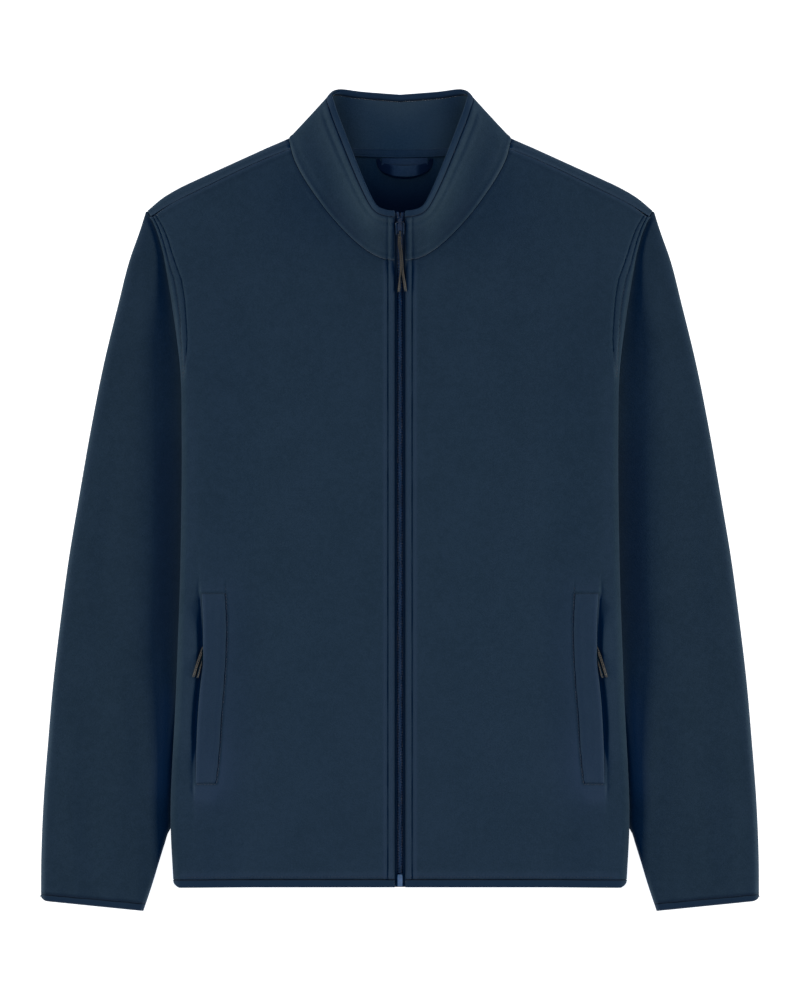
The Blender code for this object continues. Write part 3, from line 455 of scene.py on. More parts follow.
def bump(tree, shader, height, strength, distance):
    node = addNode(tree, "ShaderNodeBump", Strength=strength, Distance=distance)
    tree.links.new(height, node.inputs["Height"])
    tree.links.new(node.outputs["Normal"], shader.inputs["Normal"])


# the last of the fleece's colours is the paler one of its painted highlights
fleece = dict(dark=(0.0092, 0.0252, 0.0440), light=(0.0140, 0.0330, 0.0570), paintedHighlight=(0.0215, 0.0415, 0.0750),
              patchScale=24.0, softScale=150.0, napScale=620.0, fineScale=1500.0, napHeight=0.0005,
              shader={"Roughness": 0.95, "Specular IOR Level": 0.15, "Sheen Weight": 0.16,
                      "Sheen Roughness": 0.4, "Sheen Tint": (0.40, 0.52, 0.75, 1.0)})
seamShade = (0.0014, 0.0085, 0.0270)


def crackShade(tree, paintedLightAndPaleEnds, colour):
    # painted shade: a negative mark darkens the colour where shade falls, at the deep edge of a seam, in a
    # groove or a hollow
    deep = calculate(tree, "MAXIMUM", calculate(tree, "MULTIPLY", paintedLightAndPaleEnds, -1.0), 0.0)
    return blendColours(tree, deep, colour, seamShade)


def fleeceMaterial(name, tone=1.0, paintedHighlight=fleece["paintedHighlight"], paintedWarmLight=1.0):
    # brushed pile: two sizes of noise for the tufts, and two slow ones for the patches where it lies flat
    material, tree, shader = nodesOf(name)
    coords = objectCoords(tree)
    patches = noise(tree, coords, fleece["patchScale"], 3.0, 0.55)
    tufts = noise(tree, coords, fleece["napScale"], 2.0, 0.6)
    fine = noise(tree, coords, fleece["fineScale"], 2.0, 0.6)
    soft = noise(tree, coords, fleece["softScale"], 2.0, 0.5)
    pile = weighted(tree, tufts, 0.6, fine, 0.4)
    mixed = weighted(tree, pile, 0.62, weighted(tree, patches, 0.18, soft, 0.2), 1.0)
    # warmth is painted warm light: it raises the red of both colours
    dark, light = (tuple(c * tone * w for c, w in zip(fleece[key], (paintedWarmLight, 1.0, 1.0)))
                   for key in ("dark", "light"))
    base = blendColours(tree, spread(tree, mixed, 0.42, 0.58), dark, light)
    # painted highlights: positive marks blend towards the paler colour, and negative marks are painted shade
    paintedLightAndPaleEnds = paintedLightAndPaleEndMarks(tree)
    highlightShare = calculate(tree, "MULTIPLY", paintedLightAndPaleEnds, spread(tree, pile, 0.3, 0.7, 0.65, 1.0))
    colour = blendColours(tree, calculate(tree, "MAXIMUM", highlightShare, 0.0), base, paintedHighlight)
    tree.links.new(crackShade(tree, paintedLightAndPaleEnds, colour), shader.inputs["Base Color"])
    setSockets(shader, fleece["shader"])
    bump(tree, shader, pile, 0.55, fleece["napHeight"])
    return material


binding = dict(dark=(0.0044, 0.0189, 0.0420), light=(0.0080, 0.0267, 0.0564), ribPitch=0.0011,
               loopPitch=0.00088, ribHeight=0.00012,
               shader={"Roughness": 0.85, "Specular IOR Level": 0.15, "Sheen Weight": 0.02})
waveTurn = 0.314    # a wave's scale times its pitch in metres


def bindingMaterial(name, tone=1.0):
    # stretch knit tape: fine ribs that run along it, crossed by the loops of the knit
    material, tree, shader = nodesOf(name)
    ribs = wave(tree, "Y", waveTurn / binding["ribPitch"], 0.6, 1.0)
    loops = wave(tree, "X", waveTurn / binding["loopPitch"], 1.0, 1.0)
    knit = weighted(tree, ribs, 0.6, loops, 0.4)
    shade = weighted(tree, knit, 0.5, noise(tree, objectCoords(tree), 90.0, 3.0, 0.6), 0.5)
    dark, light = (tuple(c * tone for c in binding[key]) for key in ("dark", "light"))
    # negative marks paint shade into the knit
    colour = crackShade(tree, paintedLightAndPaleEndMarks(tree), blendColours(tree, shade, dark, light))
    tree.links.new(colour, shader.inputs["Base Color"])
    setSockets(shader, binding["shader"])
    bump(tree, shader, knit, 0.5, binding["ribHeight"])
    return material


zipFinish = dict(tapeDark=(0.0034, 0.0108, 0.0280), tapeLight=(0.0075, 0.0205, 0.0490), tapeRoughness=0.7,
                 yarnHeight=0.00012, coil=(0.0092, 0.0295, 0.0760), metal=(0.0060, 0.0140, 0.0360),
                 rail=(0.030, 0.055, 0.100), stop=(0.26, 0.30, 0.38), thread=(0.0150, 0.0240, 0.0450))


def tapeMaterial(name):
    # woven zip tape: slanting yarns crossed by level ones
    material, tree, shader = nodesOf(name)
    yarn = calculate(tree, "MULTIPLY", wave(tree, "DIAGONAL", 420.0, 0.8, 1.0), wave(tree, "Y", 520.0, 0.5))
    colour = blendColours(tree, yarn, zipFinish["tapeDark"], zipFinish["tapeLight"])
    tree.links.new(colour, shader.inputs["Base Color"])
    setSockets(shader, {"Roughness": zipFinish["tapeRoughness"]})
    bump(tree, shader, yarn, 0.5, zipFinish["yarnHeight"])
    return material


def plainMaterial(name, colour, roughness, metallic=0.0, grain=900.0, relief=0.00003, uneven=0.25):
    # one colour with a fine grain and slow, faint unevenness in tone
    material, tree, shader = nodesOf(name)
    coords = objectCoords(tree)
    slow = noise(tree, coords, 140.0, 3.0, 0.6)
    fine = noise(tree, coords, grain, 2.0, 0.6)
    low, high = (tuple(c * share for c in colour) for share in (1 - uneven, 1 + uneven))
    tone = blendColours(tree, spread(tree, slow, 0.35, 0.65), low, high)
    gloss = spread(tree, fine, 0.3, 0.7, roughness * 0.85, min(1.0, roughness * 1.15))
    tree.links.new(tone, shader.inputs["Base Color"])
    tree.links.new(gloss, shader.inputs["Roughness"])
    setSockets(shader, {"Metallic": metallic})
    bump(tree, shader, fine, 0.4, relief)
    return material


laceFinish = dict(brown=(0.0036, 0.0047, 0.0046), cutEnd=(0.0300, 0.0340, 0.0350),
                  shade=(0.0040, 0.0036, 0.0028), roughness=0.6, braidScale=260.0, braidHeight=0.0002)


def laceMaterial(name):
    # waxed round braid: a twisted pattern along the lace, and paler where the ends are cut
    material, tree, shader = nodesOf(name)
    braid = wave(tree, "DIAGONAL", laceFinish["braidScale"], 1.2, 2.0)
    slow = noise(tree, objectCoords(tree), 300.0, 2.0, 0.6)
    pale = blendColours(tree, paintedLightAndPaleEndMarks(tree), laceFinish["brown"], laceFinish["cutEnd"])
    dark = blendColours(tree, 0.55, pale, laceFinish["shade"])
    colour = blendColours(tree, weighted(tree, braid, 0.5, slow, 0.6), dark, pale)
    tree.links.new(colour, shader.inputs["Base Color"])
    setSockets(shader, {"Roughness": laceFinish["roughness"]})
    bump(tree, shader, braid, 0.6, laceFinish["braidHeight"])
    return material


finish = dict(
    body=fleeceMaterial("fleeceBody"),
    sleeve=fleeceMaterial("fleeceSleeve", 0.90),
    # the back's and the collar's own paler colours are for their painted highlights and for the painted lit
    # patch inside the back of the collar
    back=fleeceMaterial("fleeceBack", 1.0, (0.0300, 0.0540, 0.0860)),
    collar=fleeceMaterial("fleeceCollar", 0.97, (0.0380, 0.0640, 0.0890)),
    cuff=bindingMaterial("cuffBinding", 0.9),
    binding=bindingMaterial("stretchBinding"),
    # the neck tape and the hanger loop are lit copies of the fleece: lighter, and warmer through painted warm
    # light, for the light that reaches into the neck
    neckTape=fleeceMaterial("neckTape", 1.1, (0.0240, 0.0440, 0.0700), 1.2),
    loop=fleeceMaterial("loopTape", 1.35, (0.0330, 0.0520, 0.0740), 1.5),
    tape=tapeMaterial("zipTape"),
    coil=plainMaterial("zipCoil", zipFinish["coil"], 0.38),
    metal=plainMaterial("paintedZipMetal", zipFinish["metal"], 0.55, 0.1),
    rail=plainMaterial("wornZipMetal", zipFinish["rail"], 0.4, 0.4),
    stop=plainMaterial("bareZipMetal", zipFinish["stop"], 0.35, 0.7),
    thread=plainMaterial("thread", zipFinish["thread"], 0.7, grain=2500.0),
    lace=laceMaterial("brownLace"))
print("finishes made")


def ridesOn(obj, body, slot, *replaced):
    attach(obj, body)
    if replaced:
        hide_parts(*replaced)


stitch = dict(pitch=3.2, length=2.3, radius=0.26, sunk=0.05, along=[-1.0, -0.6, 0.6, 1.0],
              fat=[0.3, 1.0, 1.0, 0.3], lift=[-0.5, 0.3, 0.3, -0.5], sides=6)


def pointsOn(grid, x, h):
    # height and normal of a cloth's grid at (x, h): its nearest point, carried over along its slope
    flat, normal = grid.reshape(-1, 3), normalsOf(grid).reshape(-1, 3)
    batch = 80
    nearest = np.concatenate([np.argmin((flat[:, :1] - x[i:i + batch]) ** 2
                                        + (flat[:, 1:2] - h[i:i + batch]) ** 2, axis=0)
                              for i in range(0, len(x), batch)])
    p, n = flat[nearest], normal[nearest]
    n = n * np.sign(n[:, 2:])
    steep = np.maximum(n[:, 2], 0.3)
    return p[:, 2] - (n[:, 0] * (x - p[:, 0]) + n[:, 1] * (h - p[:, 1])) / steep, n


def makeStitches(name, grid, lines, side):
    # short rounded threads, one after another along each line of (x, h), their ends pulled into the
    # cloth. A thread is four rings: middle + run * along + normal * (lift + fat sin a) + beside * fat cos a
    middle, run = [], []
    for line in lines:
        line = np.asarray(line, dtype=float)
        at = lengthAlong(line)
        place = (np.arange(int(at[-1] / stitch["pitch"])) + 0.5) * stitch["pitch"]
        middle.append(np.column_stack([np.interp(place, at, line[:, k]) for k in (0, 1)]))
        run.append(np.column_stack([np.interp(place, at, np.gradient(line[:, k], at)) for k in (0, 1)]))
    middle, run = np.concatenate(middle), np.concatenate(run)
    z, n = pointsOn(grid, middle[:, 0], middle[:, 1])
    rise = -(n[:, 0] * run[:, 0] + n[:, 1] * run[:, 1]) / np.maximum(n[:, 2], 0.3)
    run = np.column_stack([run, rise])
    run /= np.linalg.norm(run, axis=1, keepdims=True)
    beside = np.cross(n, run)
    reach = np.array(stitch["along"]) * stitch["length"] / 2
    fat = stitch["radius"] * np.array(stitch["fat"])
    lift = stitch["radius"] * np.array(stitch["lift"]) - stitch["sunk"]
    a = np.linspace(0, 2 * np.pi, stitch["sides"], endpoint=False)
    centre = np.column_stack([middle, z])
    vertices = (centre[:, None, None] + run[:, None, None] * reach[None, :, None, None]
                + n[:, None, None] * (lift[:, None] + fat[:, None] * np.sin(a)[None])[None, ..., None]
                + beside[:, None, None] * (fat[:, None] * np.cos(a)[None])[None, ..., None])
    faces = tubeFaces(np.arange(len(centre) * len(reach) * len(a)).reshape(-1, len(reach), len(a)))
    obj = newPiece(name, onTable(vertices.reshape(-1, 3), side), turned(faces) if side > 0 else faces,
                   finish["thread"])
    ridesOn(obj, "jacket", "fleece")


front = dict(
    flatColumns=[(0.0, 0.075, 24), (0.075, 0.74, 46), (0.74, 1.0, 64)],   # shares of the flat width
    rollAngles=14,
    lowRows=[(8.0, 20.0, 14), (20.0, 96.0, 22), (96.0, 108.0, 12), (108.0, 276.0, 44), (276.0, 292.0, 16),
             (292.0, 492.0, 44)],
    highRows=92, centreH=[492.0, 548.0], centreZ=[13.4, 15.6], shoulderRoll=3.2,
    softening=6, chestSoftening=140, lap=0.24,
    zipFold=0.8, zipGroove=1.0, zipGrooveAt=11.6, zipOuterRidge=0.45,
    armGroove=0.9, armRidge=0.5, cut=(0.27, 0.70), area=0.163)
armholeStitch = dict(h=[485, 495, 511, 527, 549, 566, 584, 596, 609, 631, 643.5],
                     first=[1.6, 2.5, 3.4, 3.8, 6.5, 6.7, 6.5, 4.4, 3.4, 3.0, 2.8],
                     second=[2.4, 3.6, 7.2, 10.5, 12.2, 13.4, 13.3, 10.9, 8.7, 7.6, 6.3])
# soft troughs and ridges pressed into the fronts: middle, direction in degrees, half length, width, height
frontCreases = [
    dict(side=1, x=22, h=214, turn=118, length=26, width=5.0, height=-0.55),
    dict(side=1, x=36, h=232, turn=140, length=30, width=7.0, height=0.40),
    dict(side=-1, x=26, h=208, turn=60, length=34, width=8.0, height=-0.30),
    dict(side=1, x=64, h=60, turn=70, length=40, width=12.0, height=0.45),
    dict(side=-1, x=58, h=72, turn=112, length=44, width=13.0, height=0.45),
    dict(side=1, x=120, h=40, turn=80, length=34, width=11.0, height=0.40),
    dict(side=-1, x=132, h=38, turn=100, length=30, width=10.0, height=0.40),
    dict(side=1, x=138, h=330, turn=48, length=40, width=14.0, height=-0.45),
    dict(side=-1, x=142, h=322, turn=130, length=44, width=15.0, height=-0.45),
    dict(side=1, x=150, h=420, turn=70, length=50, width=16.0, height=0.35),
    dict(side=-1, x=146, h=410, turn=105, length=46, width=16.0, height=0.35),
    dict(side=1, x=182, h=86, turn=90, length=13, width=9.0, height=0.9),
    dict(side=-1, x=182, h=86, turn=90, length=13, width=9.0, height=0.9),
    dict(side=1, x=186, h=40, turn=85, length=24, width=12.0, height=0.5),
    dict(side=-1, x=186, h=44, turn=95, length=24, width=12.0, height=0.5),
    dict(side=1, x=100, h=290, turn=1, length=110, width=2.2, height=-0.14),
    dict(side=-1, x=100, h=291, turn=-1, length=110, width=2.2, height=-0.14),
]


def creaseField(creases, side, x, h):
    total = np.zeros(np.shape(x))
    for c in creases:
        if c["side"] != side:
            continue
        dx, dh = x - c["x"], h - c["h"]
        a = math.radians(c["turn"])
        run, off = dx * math.cos(a) + dh * math.sin(a), -dx * math.sin(a) + dh * math.cos(a)
        total += c["height"] * bell(off, c["width"]) * np.exp(-np.abs(run / c["length"]) ** 3)
    return total


def sideRoll(h, topX, topZ, edge, angles, stripSteps):
    # from the top of the side's round edge, down and under to the side seam or the armhole:
    # a quarter turn out and down, a quarter turn in under, then a flat strip
    h, topX, topZ, edge = (np.asarray(v, float)[:, None] for v in (h, topX, topZ, edge))
    sigma = underSeam(h)
    tuck = jacket["roll"] * sigma
    deepX = edge - tuck
    wrapped = h < jacket["sideTopH"]
    low = np.where(wrapped, liftUnder(deepX, h), 0.0)
    turnIn = 1 - smooth((h - jacket["sideTopH"]) / 36.0)
    beside = jacket["seamLow"] + (jacket["seamHigh"] - jacket["seamLow"]) * turnIn
    low = np.where(h > jacket["underarmH"], np.maximum(low, beside), low)
    middle = np.where(wrapped, (topZ + low) / 2, low + 1.5)
    a = angles[None, :]
    outX = topX + (edge - topX) * np.sin(a)
    outZ = middle + (topZ - middle) * np.cos(a)
    inX = edge - tuck * (1 - np.cos(a))
    inZ = middle - (middle - low) * np.sin(a)
    s = stripSteps[None, :]
    stripX = deepX - (jacket["seamIn"] - jacket["roll"]) * sigma * s
    stripZ = np.where(h > jacket["underarmH"], low, liftUnder(stripX, h))
    stripZ = np.where(wrapped, stripZ, stripZ - 0.3 * s)
    x = np.concatenate([outX, inX, stripX], axis=1)
    z = np.concatenate([outZ, inZ, stripZ], axis=1)
    return np.stack([x, np.broadcast_to(h, x.shape), z], axis=2)


def levelRows(h, share, angles, strip):
    # level rows of the body: flat from the zip slot across, then round the side
    edge = bodyEdge(h)
    x = jacket["zipSlot"] + (edge - jacket["roll"] - jacket["zipSlot"])[:, None] * share[None]
    level = np.broadcast_to(h[:, None], x.shape)
    flat = inPlan(x, level, frontTop(x, level))
    return np.concatenate([flat, sideRoll(h, flat[:, -1, 0], flat[:, -1, 2], edge, angles, strip)], axis=1)


def frontGrid():
    share = steps(*front["flatColumns"])
    angles = np.linspace(0, np.pi / 2, front["rollAngles"] + 1)[1:]
    strip = np.linspace(0, 1, 7)[1:]
    low = levelRows(steps(*front["lowRows"]), share, angles, strip)
    # the upper part: a patch between the centre front and neckline, the armhole and the shoulder seam
    rows = len(frontNeckRows) + 2
    v = np.linspace(0, 1, front["highRows"] + 1)
    corner = 2 / (rows - 1)    # where the centre front meets the neckline
    v[np.argmin(np.abs(v - corner))] = corner
    at = v * (rows - 1)
    neck = neckEdge(np.interp(at, np.arange(2, rows), frontNeckRows))
    neckline = neckEdge(np.array(frontNeckRows, float))
    centreH = np.interp(at, [0, 1, 2], front["centreH"] + [neckline[0, 1]])
    below = at <= 2
    left = np.column_stack([np.where(below, jacket["zipSlot"], neck[:, 0]),
                            np.where(below, centreH, neck[:, 1]),
                            through(np.arange(rows), np.concatenate([front["centreZ"], neckline[:, 2]]), at)])
    seam = np.column_stack([shoulderTable["seamX"], np.array(shoulderTable["seamH"]) - 3 * jacket["gap"],
                            shoulderTable["top"]])
    endH = seam[-1, 1]
    hs = jacket["sideTopH"] + v * (endH - jacket["sideTopH"])
    roll = jacket["roll"] + (front["shoulderRoll"] - jacket["roll"]) * smooth((v - 0.75) / 0.25)
    start = low[-1, :len(share)]
    topZ = start[-1, 2] + (seam[-1, 2] - start[-1, 2]) * smooth(v)
    right = np.column_stack([bodyEdge(hs) - roll, hs, topZ])
    seam[-1, 0] = right[-1, 0]
    left[-1] = seam[0]
    last = len(seam) - 1
    fine = np.linspace(0, last, 61)
    curve = np.column_stack([through(np.arange(last + 1), seam[:, k], fine) for k in range(3)])
    patch = coons(start, along(curve, share), left, right, share, v)[1:]
    x, h, z = patch[:, -1].T
    roll = sideRoll(h, x, z, bodyEdge(h), angles, strip)
    points = np.concatenate([low, np.concatenate([patch, roll], axis=1)])
    flatCount = len(share)
    # evened out up the rows: a little beside the zip and the neck seam, more over the chest and at the sides
    z, away = points[:, :flatCount, 2], smooth((points[:, :flatCount, 0] - 8.0) / 50.0)
    points[:, :flatCount, 2] = (soften(z, front["softening"]) * (1 - away)
                                + soften(z, front["chestSoftening"]) * away)
    return points, flatCount, left


def zipRelief(x, h, side):
    # the cloth folded back beside the zip, its groove of stitching, and a ridge outside that
    wavy = 1 + 0.25 * np.sin(h / 9.0 + side) * np.sin(h / 23.0)
    fromZip = x - jacket["zipSlot"]
    raised = wavy * (front["zipFold"] * bell(x - 8.2, 2.0) + front["zipOuterRidge"] * bell(x - 14.6, 2.0)
                     - front["zipGroove"] * bell(x - front["zipGrooveAt"], 0.9)) - 0.9 * dip(fromZip, 1.4)
    # painted highlights on the fold and the ridge, and painted shade at the slot's edge
    paintedLightAndPaleEnds = 0.75 * bell(x - 8.4, 2.2) + 0.7 * bell(x - 14.6, 1.8)
    return raised, paintedLightAndPaleEnds, 1.2 * ramp(fromZip, 1.2)


def shoulderRelief(x, h):
    # a painted highlight on the seam's ridge, and painted shade in the groove beside it
    fromSeam = distanceTo(np.column_stack([shoulderTable["seamX"], shoulderTable["seamH"]]), x, h)
    raised = 0.4 * bell(fromSeam - 1.4, 1.5) - 0.4 * bell(fromSeam - 4.8, 1.4) - 0.12 * dip(fromSeam, 0.9)
    return raised, 0.9 * bell(fromSeam - 0.8, 1.8), 0.12 * bell(fromSeam - 4.8, 1.3)


def armholeRelief(h, toEdge):
    # two rows of stitches, with a ridge before, between and behind them
    first = np.interp(h, armholeStitch["h"], armholeStitch["first"])
    second = np.interp(h, armholeStitch["h"], armholeStitch["second"])
    ridges = toEdge - first / 2, toEdge - (first + second) / 2, toEdge - second - 2.8
    raised = (front["armRidge"] * (bell(ridges[0], 1.3) + bell(ridges[1], 1.7) + 0.8 * bell(ridges[2], 1.6))
              - front["armGroove"] * (bell(toEdge - first, 0.75) + bell(toEdge - second, 0.75)))
    # painted highlights on the ridges, and painted shade at the armhole's edge
    paintedLightAndPaleEnds = 0.32 * (bell(ridges[0], 1.6) + bell(ridges[1], 2.0) + 0.7 * bell(ridges[2], 1.8))
    return raised, paintedLightAndPaleEnds, 0.16 * bell(toEdge - 0.5, 2.6)


def hemRelief(x, h, side):
    # the binding draws the cloth into small uneven waves
    fromHem = h - jacket["hemBinding"]
    waves = 0.5 * np.sin(x / 4.3 + 1.3 * np.sin(x / 17.0) + side) * np.sin(x / 11.0 + 0.6)
    raised = waves * bell(fromHem - 4, 6.0) + 0.5 * bell(fromHem - 4.5, 3.0) - 0.4 * dip(fromHem, 1.6)
    # a painted highlight on the ridge above the binding, and painted shade at its edge
    return raised, 0.45 * bell(fromHem - 4.0, 3.2), 0.3 * ramp(fromHem, 1.6)


def pocketMouth(x, h, outer):
    # pressed in beside the welt's opening edge, with the cloth full again outside it
    top, bottom = weltTable["h"][0], weltTable["h"][-1]
    slit = smooth((h - bottom - 1) / 14.0) * smooth((top + 2 - h) / 10.0)
    gape = smooth((h - bottom - 14) / 50.0)
    fromSlit = x - outer - 0.2 - 1.5 * gape
    depth = np.where(fromSlit > 0, bell(fromSlit, 0.6 + 0.35 * gape), bell(fromSlit, 10.0))
    strip = smooth((h - bottom - 10) / 34.0) * smooth((top - 8 - h) / 40.0)
    fromBump = x - outer - 4.2 - 2.4 * gape
    bump = np.where(fromBump < 0, bell(fromBump, 1.7 + 0.5 * gape), bell(fromBump, 10.0))
    raised = strip * 2.6 * bump - slit * (0.75 + 0.5 * gape) * depth
    # painted light: the slit's floor and the full cloth outside it are painted paler
    return raised, slit * 0.9 * bell(fromSlit, 1.3) + strip * 0.2 * smooth((fromBump + 1) / 2.0), 0.0


def pocketSurround(x, h, outer, inner):
    # round the welt's other three sides the cloth is as high as the welt, behind a stitched groove;
    # above the stitched edge's top end a short crack runs on
    top, bottom = weltTable["h"][0], weltTable["h"][-1]
    aside = np.hypot(np.maximum(inner - x, 0), np.maximum(np.maximum(bottom - h, h - top), 0))
    band = smooth((outer + 3 - x) / 3.0)
    runOn = smooth((h - top) / 2) * smooth((top + 12 - h) / 3)
    raised = (band * (2.9 * np.exp(-aside / 15.0) * smooth(aside + 0.5) - 0.28 * bell(aside - 1.6, 0.9))
              - 0.5 * bell(x - inner + 0.5, 0.8) * runOn)
    lower = 0.60 + 0.8 * smooth((170 - h) / 60.0)
    # painted highlights round the welt and below it, and painted shade in the stitched groove and along the
    # crack
    pale = band * smooth((aside - 1.6) / 1.5) * np.exp(-aside / 14.0) * lower
    below = 0.6 * bell(h - bottom + 9, 8.0) * smooth((x - inner + 4) / 6) * smooth((outer + 6 - x) / 6)
    paintedShade = band * 0.06 * bell(aside - 1.0, 1.0) + 0.2 * bell(x - inner + 0.5, 0.9) * runOn
    return raised, pale + below, paintedShade


def frontRelief(points, flatCount, neckLine, side):
    # height and marks of a front: each part gives what it raises, its painted highlight and its painted
    # shade, and where on the front it counts
    x, h = points[..., 0], points[..., 1]
    toEdge = bodyEdge(h) - x
    column = np.arange(x.shape[1])
    flatOnly = (column < flatCount) * np.ones(x.shape)
    onTop = (column < flatCount + front["rollAngles"]) * np.ones(x.shape)
    outer, inner = weltEdges(h)
    fromNeck = distanceTo(neckLine[neckLine[:, 1] > jacket["neckH"] - 2][::3, :2], x, h)
    inArm = smooth((h - 484) / 16.0) * smooth((652 - h) / 8.0) * onTop
    parts = [
        (flatOnly * (h < jacket["neckH"]), zipRelief(x, h, side)),
        (flatOnly * (h > 560), (0.2 * bell(fromNeck - 3.6, 2.0) - 0.1 * dip(fromNeck, 1.0), 0.0,
                                0.12 * ramp(fromNeck, 2.4))),
        (onTop * (h > 600), shoulderRelief(x, h)),
        (inArm, armholeRelief(h, toEdge)),
        # beside the side edge a painted highlight, and painted shade at the edge itself
        (onTop * (1 - inArm), (0.0, 0.2 * bell(toEdge - 9.0, 7.0) * smooth((h - 190) / 80.0),
                               0.17 * bell(toEdge - 0.5, 4.0))),
        # a little paler below, deeper over the chest
        (flatOnly, (0.0, 0.1 * smooth((300 - h) / 200.0), 0.05 * smooth((h - 400) / 140.0))),
        (flatOnly, hemRelief(x, h, side)),
        (onTop, pocketMouth(x, h, outer)),
        (flatOnly, pocketSurround(x, h, outer, inner)),
        (flatOnly, (creaseField(frontCreases, side, x, h), 0.0, 0.0))]
    raised, paintedLightAndPaleEnds, paintedShade = (sum(where * part[k] for where, part in parts) for k in range(3))
    return raised, np.clip(np.clip(paintedLightAndPaleEnds, 0, 1) - 1.6 * np.clip(paintedShade, 0, 1), -1, 1)


def frontStitchLines():
    # beside the zip, twice round the armhole, above the hem and round the pocket
    h = np.linspace(jacket["hemBinding"] + 1.3, jacket["neckH"] - 4, 200)
    lines = [np.column_stack([np.full_like(h, front["zipGrooveAt"]), h])]
    h = np.linspace(489, 640, 80)
    for key in ("first", "second"):
        fromEdge = np.interp(h, armholeStitch["h"], armholeStitch[key])
        lines.append(np.column_stack([bodyEdge(h) - fromEdge, h]))
    h = np.linspace(weltTable["h"][-1], weltTable["h"][0] + 8, 80)
    outer, inner = weltEdges(h)
    lines.append(np.column_stack([inner - 0.9, h]))
    for k, level in ((-4, h[-4] - 7.1), (0, h[0] - 0.9)):
        lines.append([(inner[k] - 0.9, level), (outer[k] + 1.5, level)])
    x = np.linspace(jacket["zipSlot"] + 4, 206, 90)
    lines.append(np.column_stack([x, np.full_like(x, jacket["hemBinding"] + 2.4)]))
    return lines


def makeFronts():
    points, flatCount, neckLine = frontGrid()
    for word, side in sides:
        raised, paintedLightAndPaleEnds = frontRelief(points, flatCount, neckLine, side)
        outer = points + normalsOf(points) * raised[..., None]
        # the last row laps most of the gap at the shoulder seam
        past = outer[-1] - outer[-2]
        outer[-1] += front["lap"] * past / np.linalg.norm(past, axis=1, keepdims=True)
        obj = shell("frontCloth" + word.capitalize(), outer, jacket["wall"], finish["body"], side, marks=paintedLightAndPaleEnds)
        ridesOn(obj, "jacket", "fleece", "front_" + word)
        makeStitches("frontStitches" + word.capitalize(), outer[:, :flatCount + 10], frontStitchLines(), side)
    print("fronts made,", points.shape[0], "by", points.shape[1])


back = dict(columns=9, centreH=[463.0, 530.0, 600.0, 660.0], cut=(0.40, 0.74), area=0.269)


def backCoarse():
    # the left half: level rows, a patch up to the neck and shoulder, and the strip that comes over
    # to the front. Also gives the row of the neck's corner, and the last row that lies on the table
    count = back["columns"]
    low = []
    for h in lowRows:
        x = np.linspace(0.0, float(bodyEdge(h)) - jacket["seamIn"] - 2 * jacket["gap"], count)
        low.append(np.stack([x, np.full_like(x, h), liftUnder(x, h)], axis=1))
    start = low[-1]
    centre = [(0.0, h, float(liftUnder(0.0, h))) for h in back["centreH"]]
    neck = neckEdge(np.array(backNeckRows))
    neck[0, 0] = 0.0
    left = np.concatenate([np.array(centre), neck])
    t = shoulderTable
    even = np.linspace(0, 1, count)
    fold = along(np.column_stack([t["foldX"], t["foldH"], t["top"]]), even)
    seam = along(np.column_stack([t["seamX"], t["seamH"], t["top"]]), even)
    height = fold[:, 2]

    def acrossFold(share, z):
        return np.column_stack([fold[:, :2] + (seam[:, :2] - fold[:, :2]) * share, z])

    under = acrossFold(0.6, np.zeros(count))
    under[0] = neck[-1]
    n = len(left)
    hs = np.linspace(jacket["underarmH"], under[-1, 1], n)
    armX = fromTable(backArmholeTable, hs)
    right = np.column_stack([armX - 2 * jacket["gap"], hs, liftUnder(armX, hs)])
    right[0], right[-1] = start[-1], under[-1]
    patch = coons(start, under, left, right, even, np.linspace(0, 1, n))
    patch[1:-1, :, 2] = np.maximum(patch[1:-1, :, 2], 0.0)
    wrap = [acrossFold(0.18, height * 0.14), acrossFold(0.0, height * 0.5), acrossFold(0.18, height * 0.86),
            acrossFold(0.55, height), acrossFold(1.0, height)]
    for row, point in zip(wrap, neckEdge(np.array(shoulderNeckRows))):
        row[0] = point
    return np.array(low + list(patch[1:]) + wrap), len(low) + 3, len(low) + len(patch) - 2


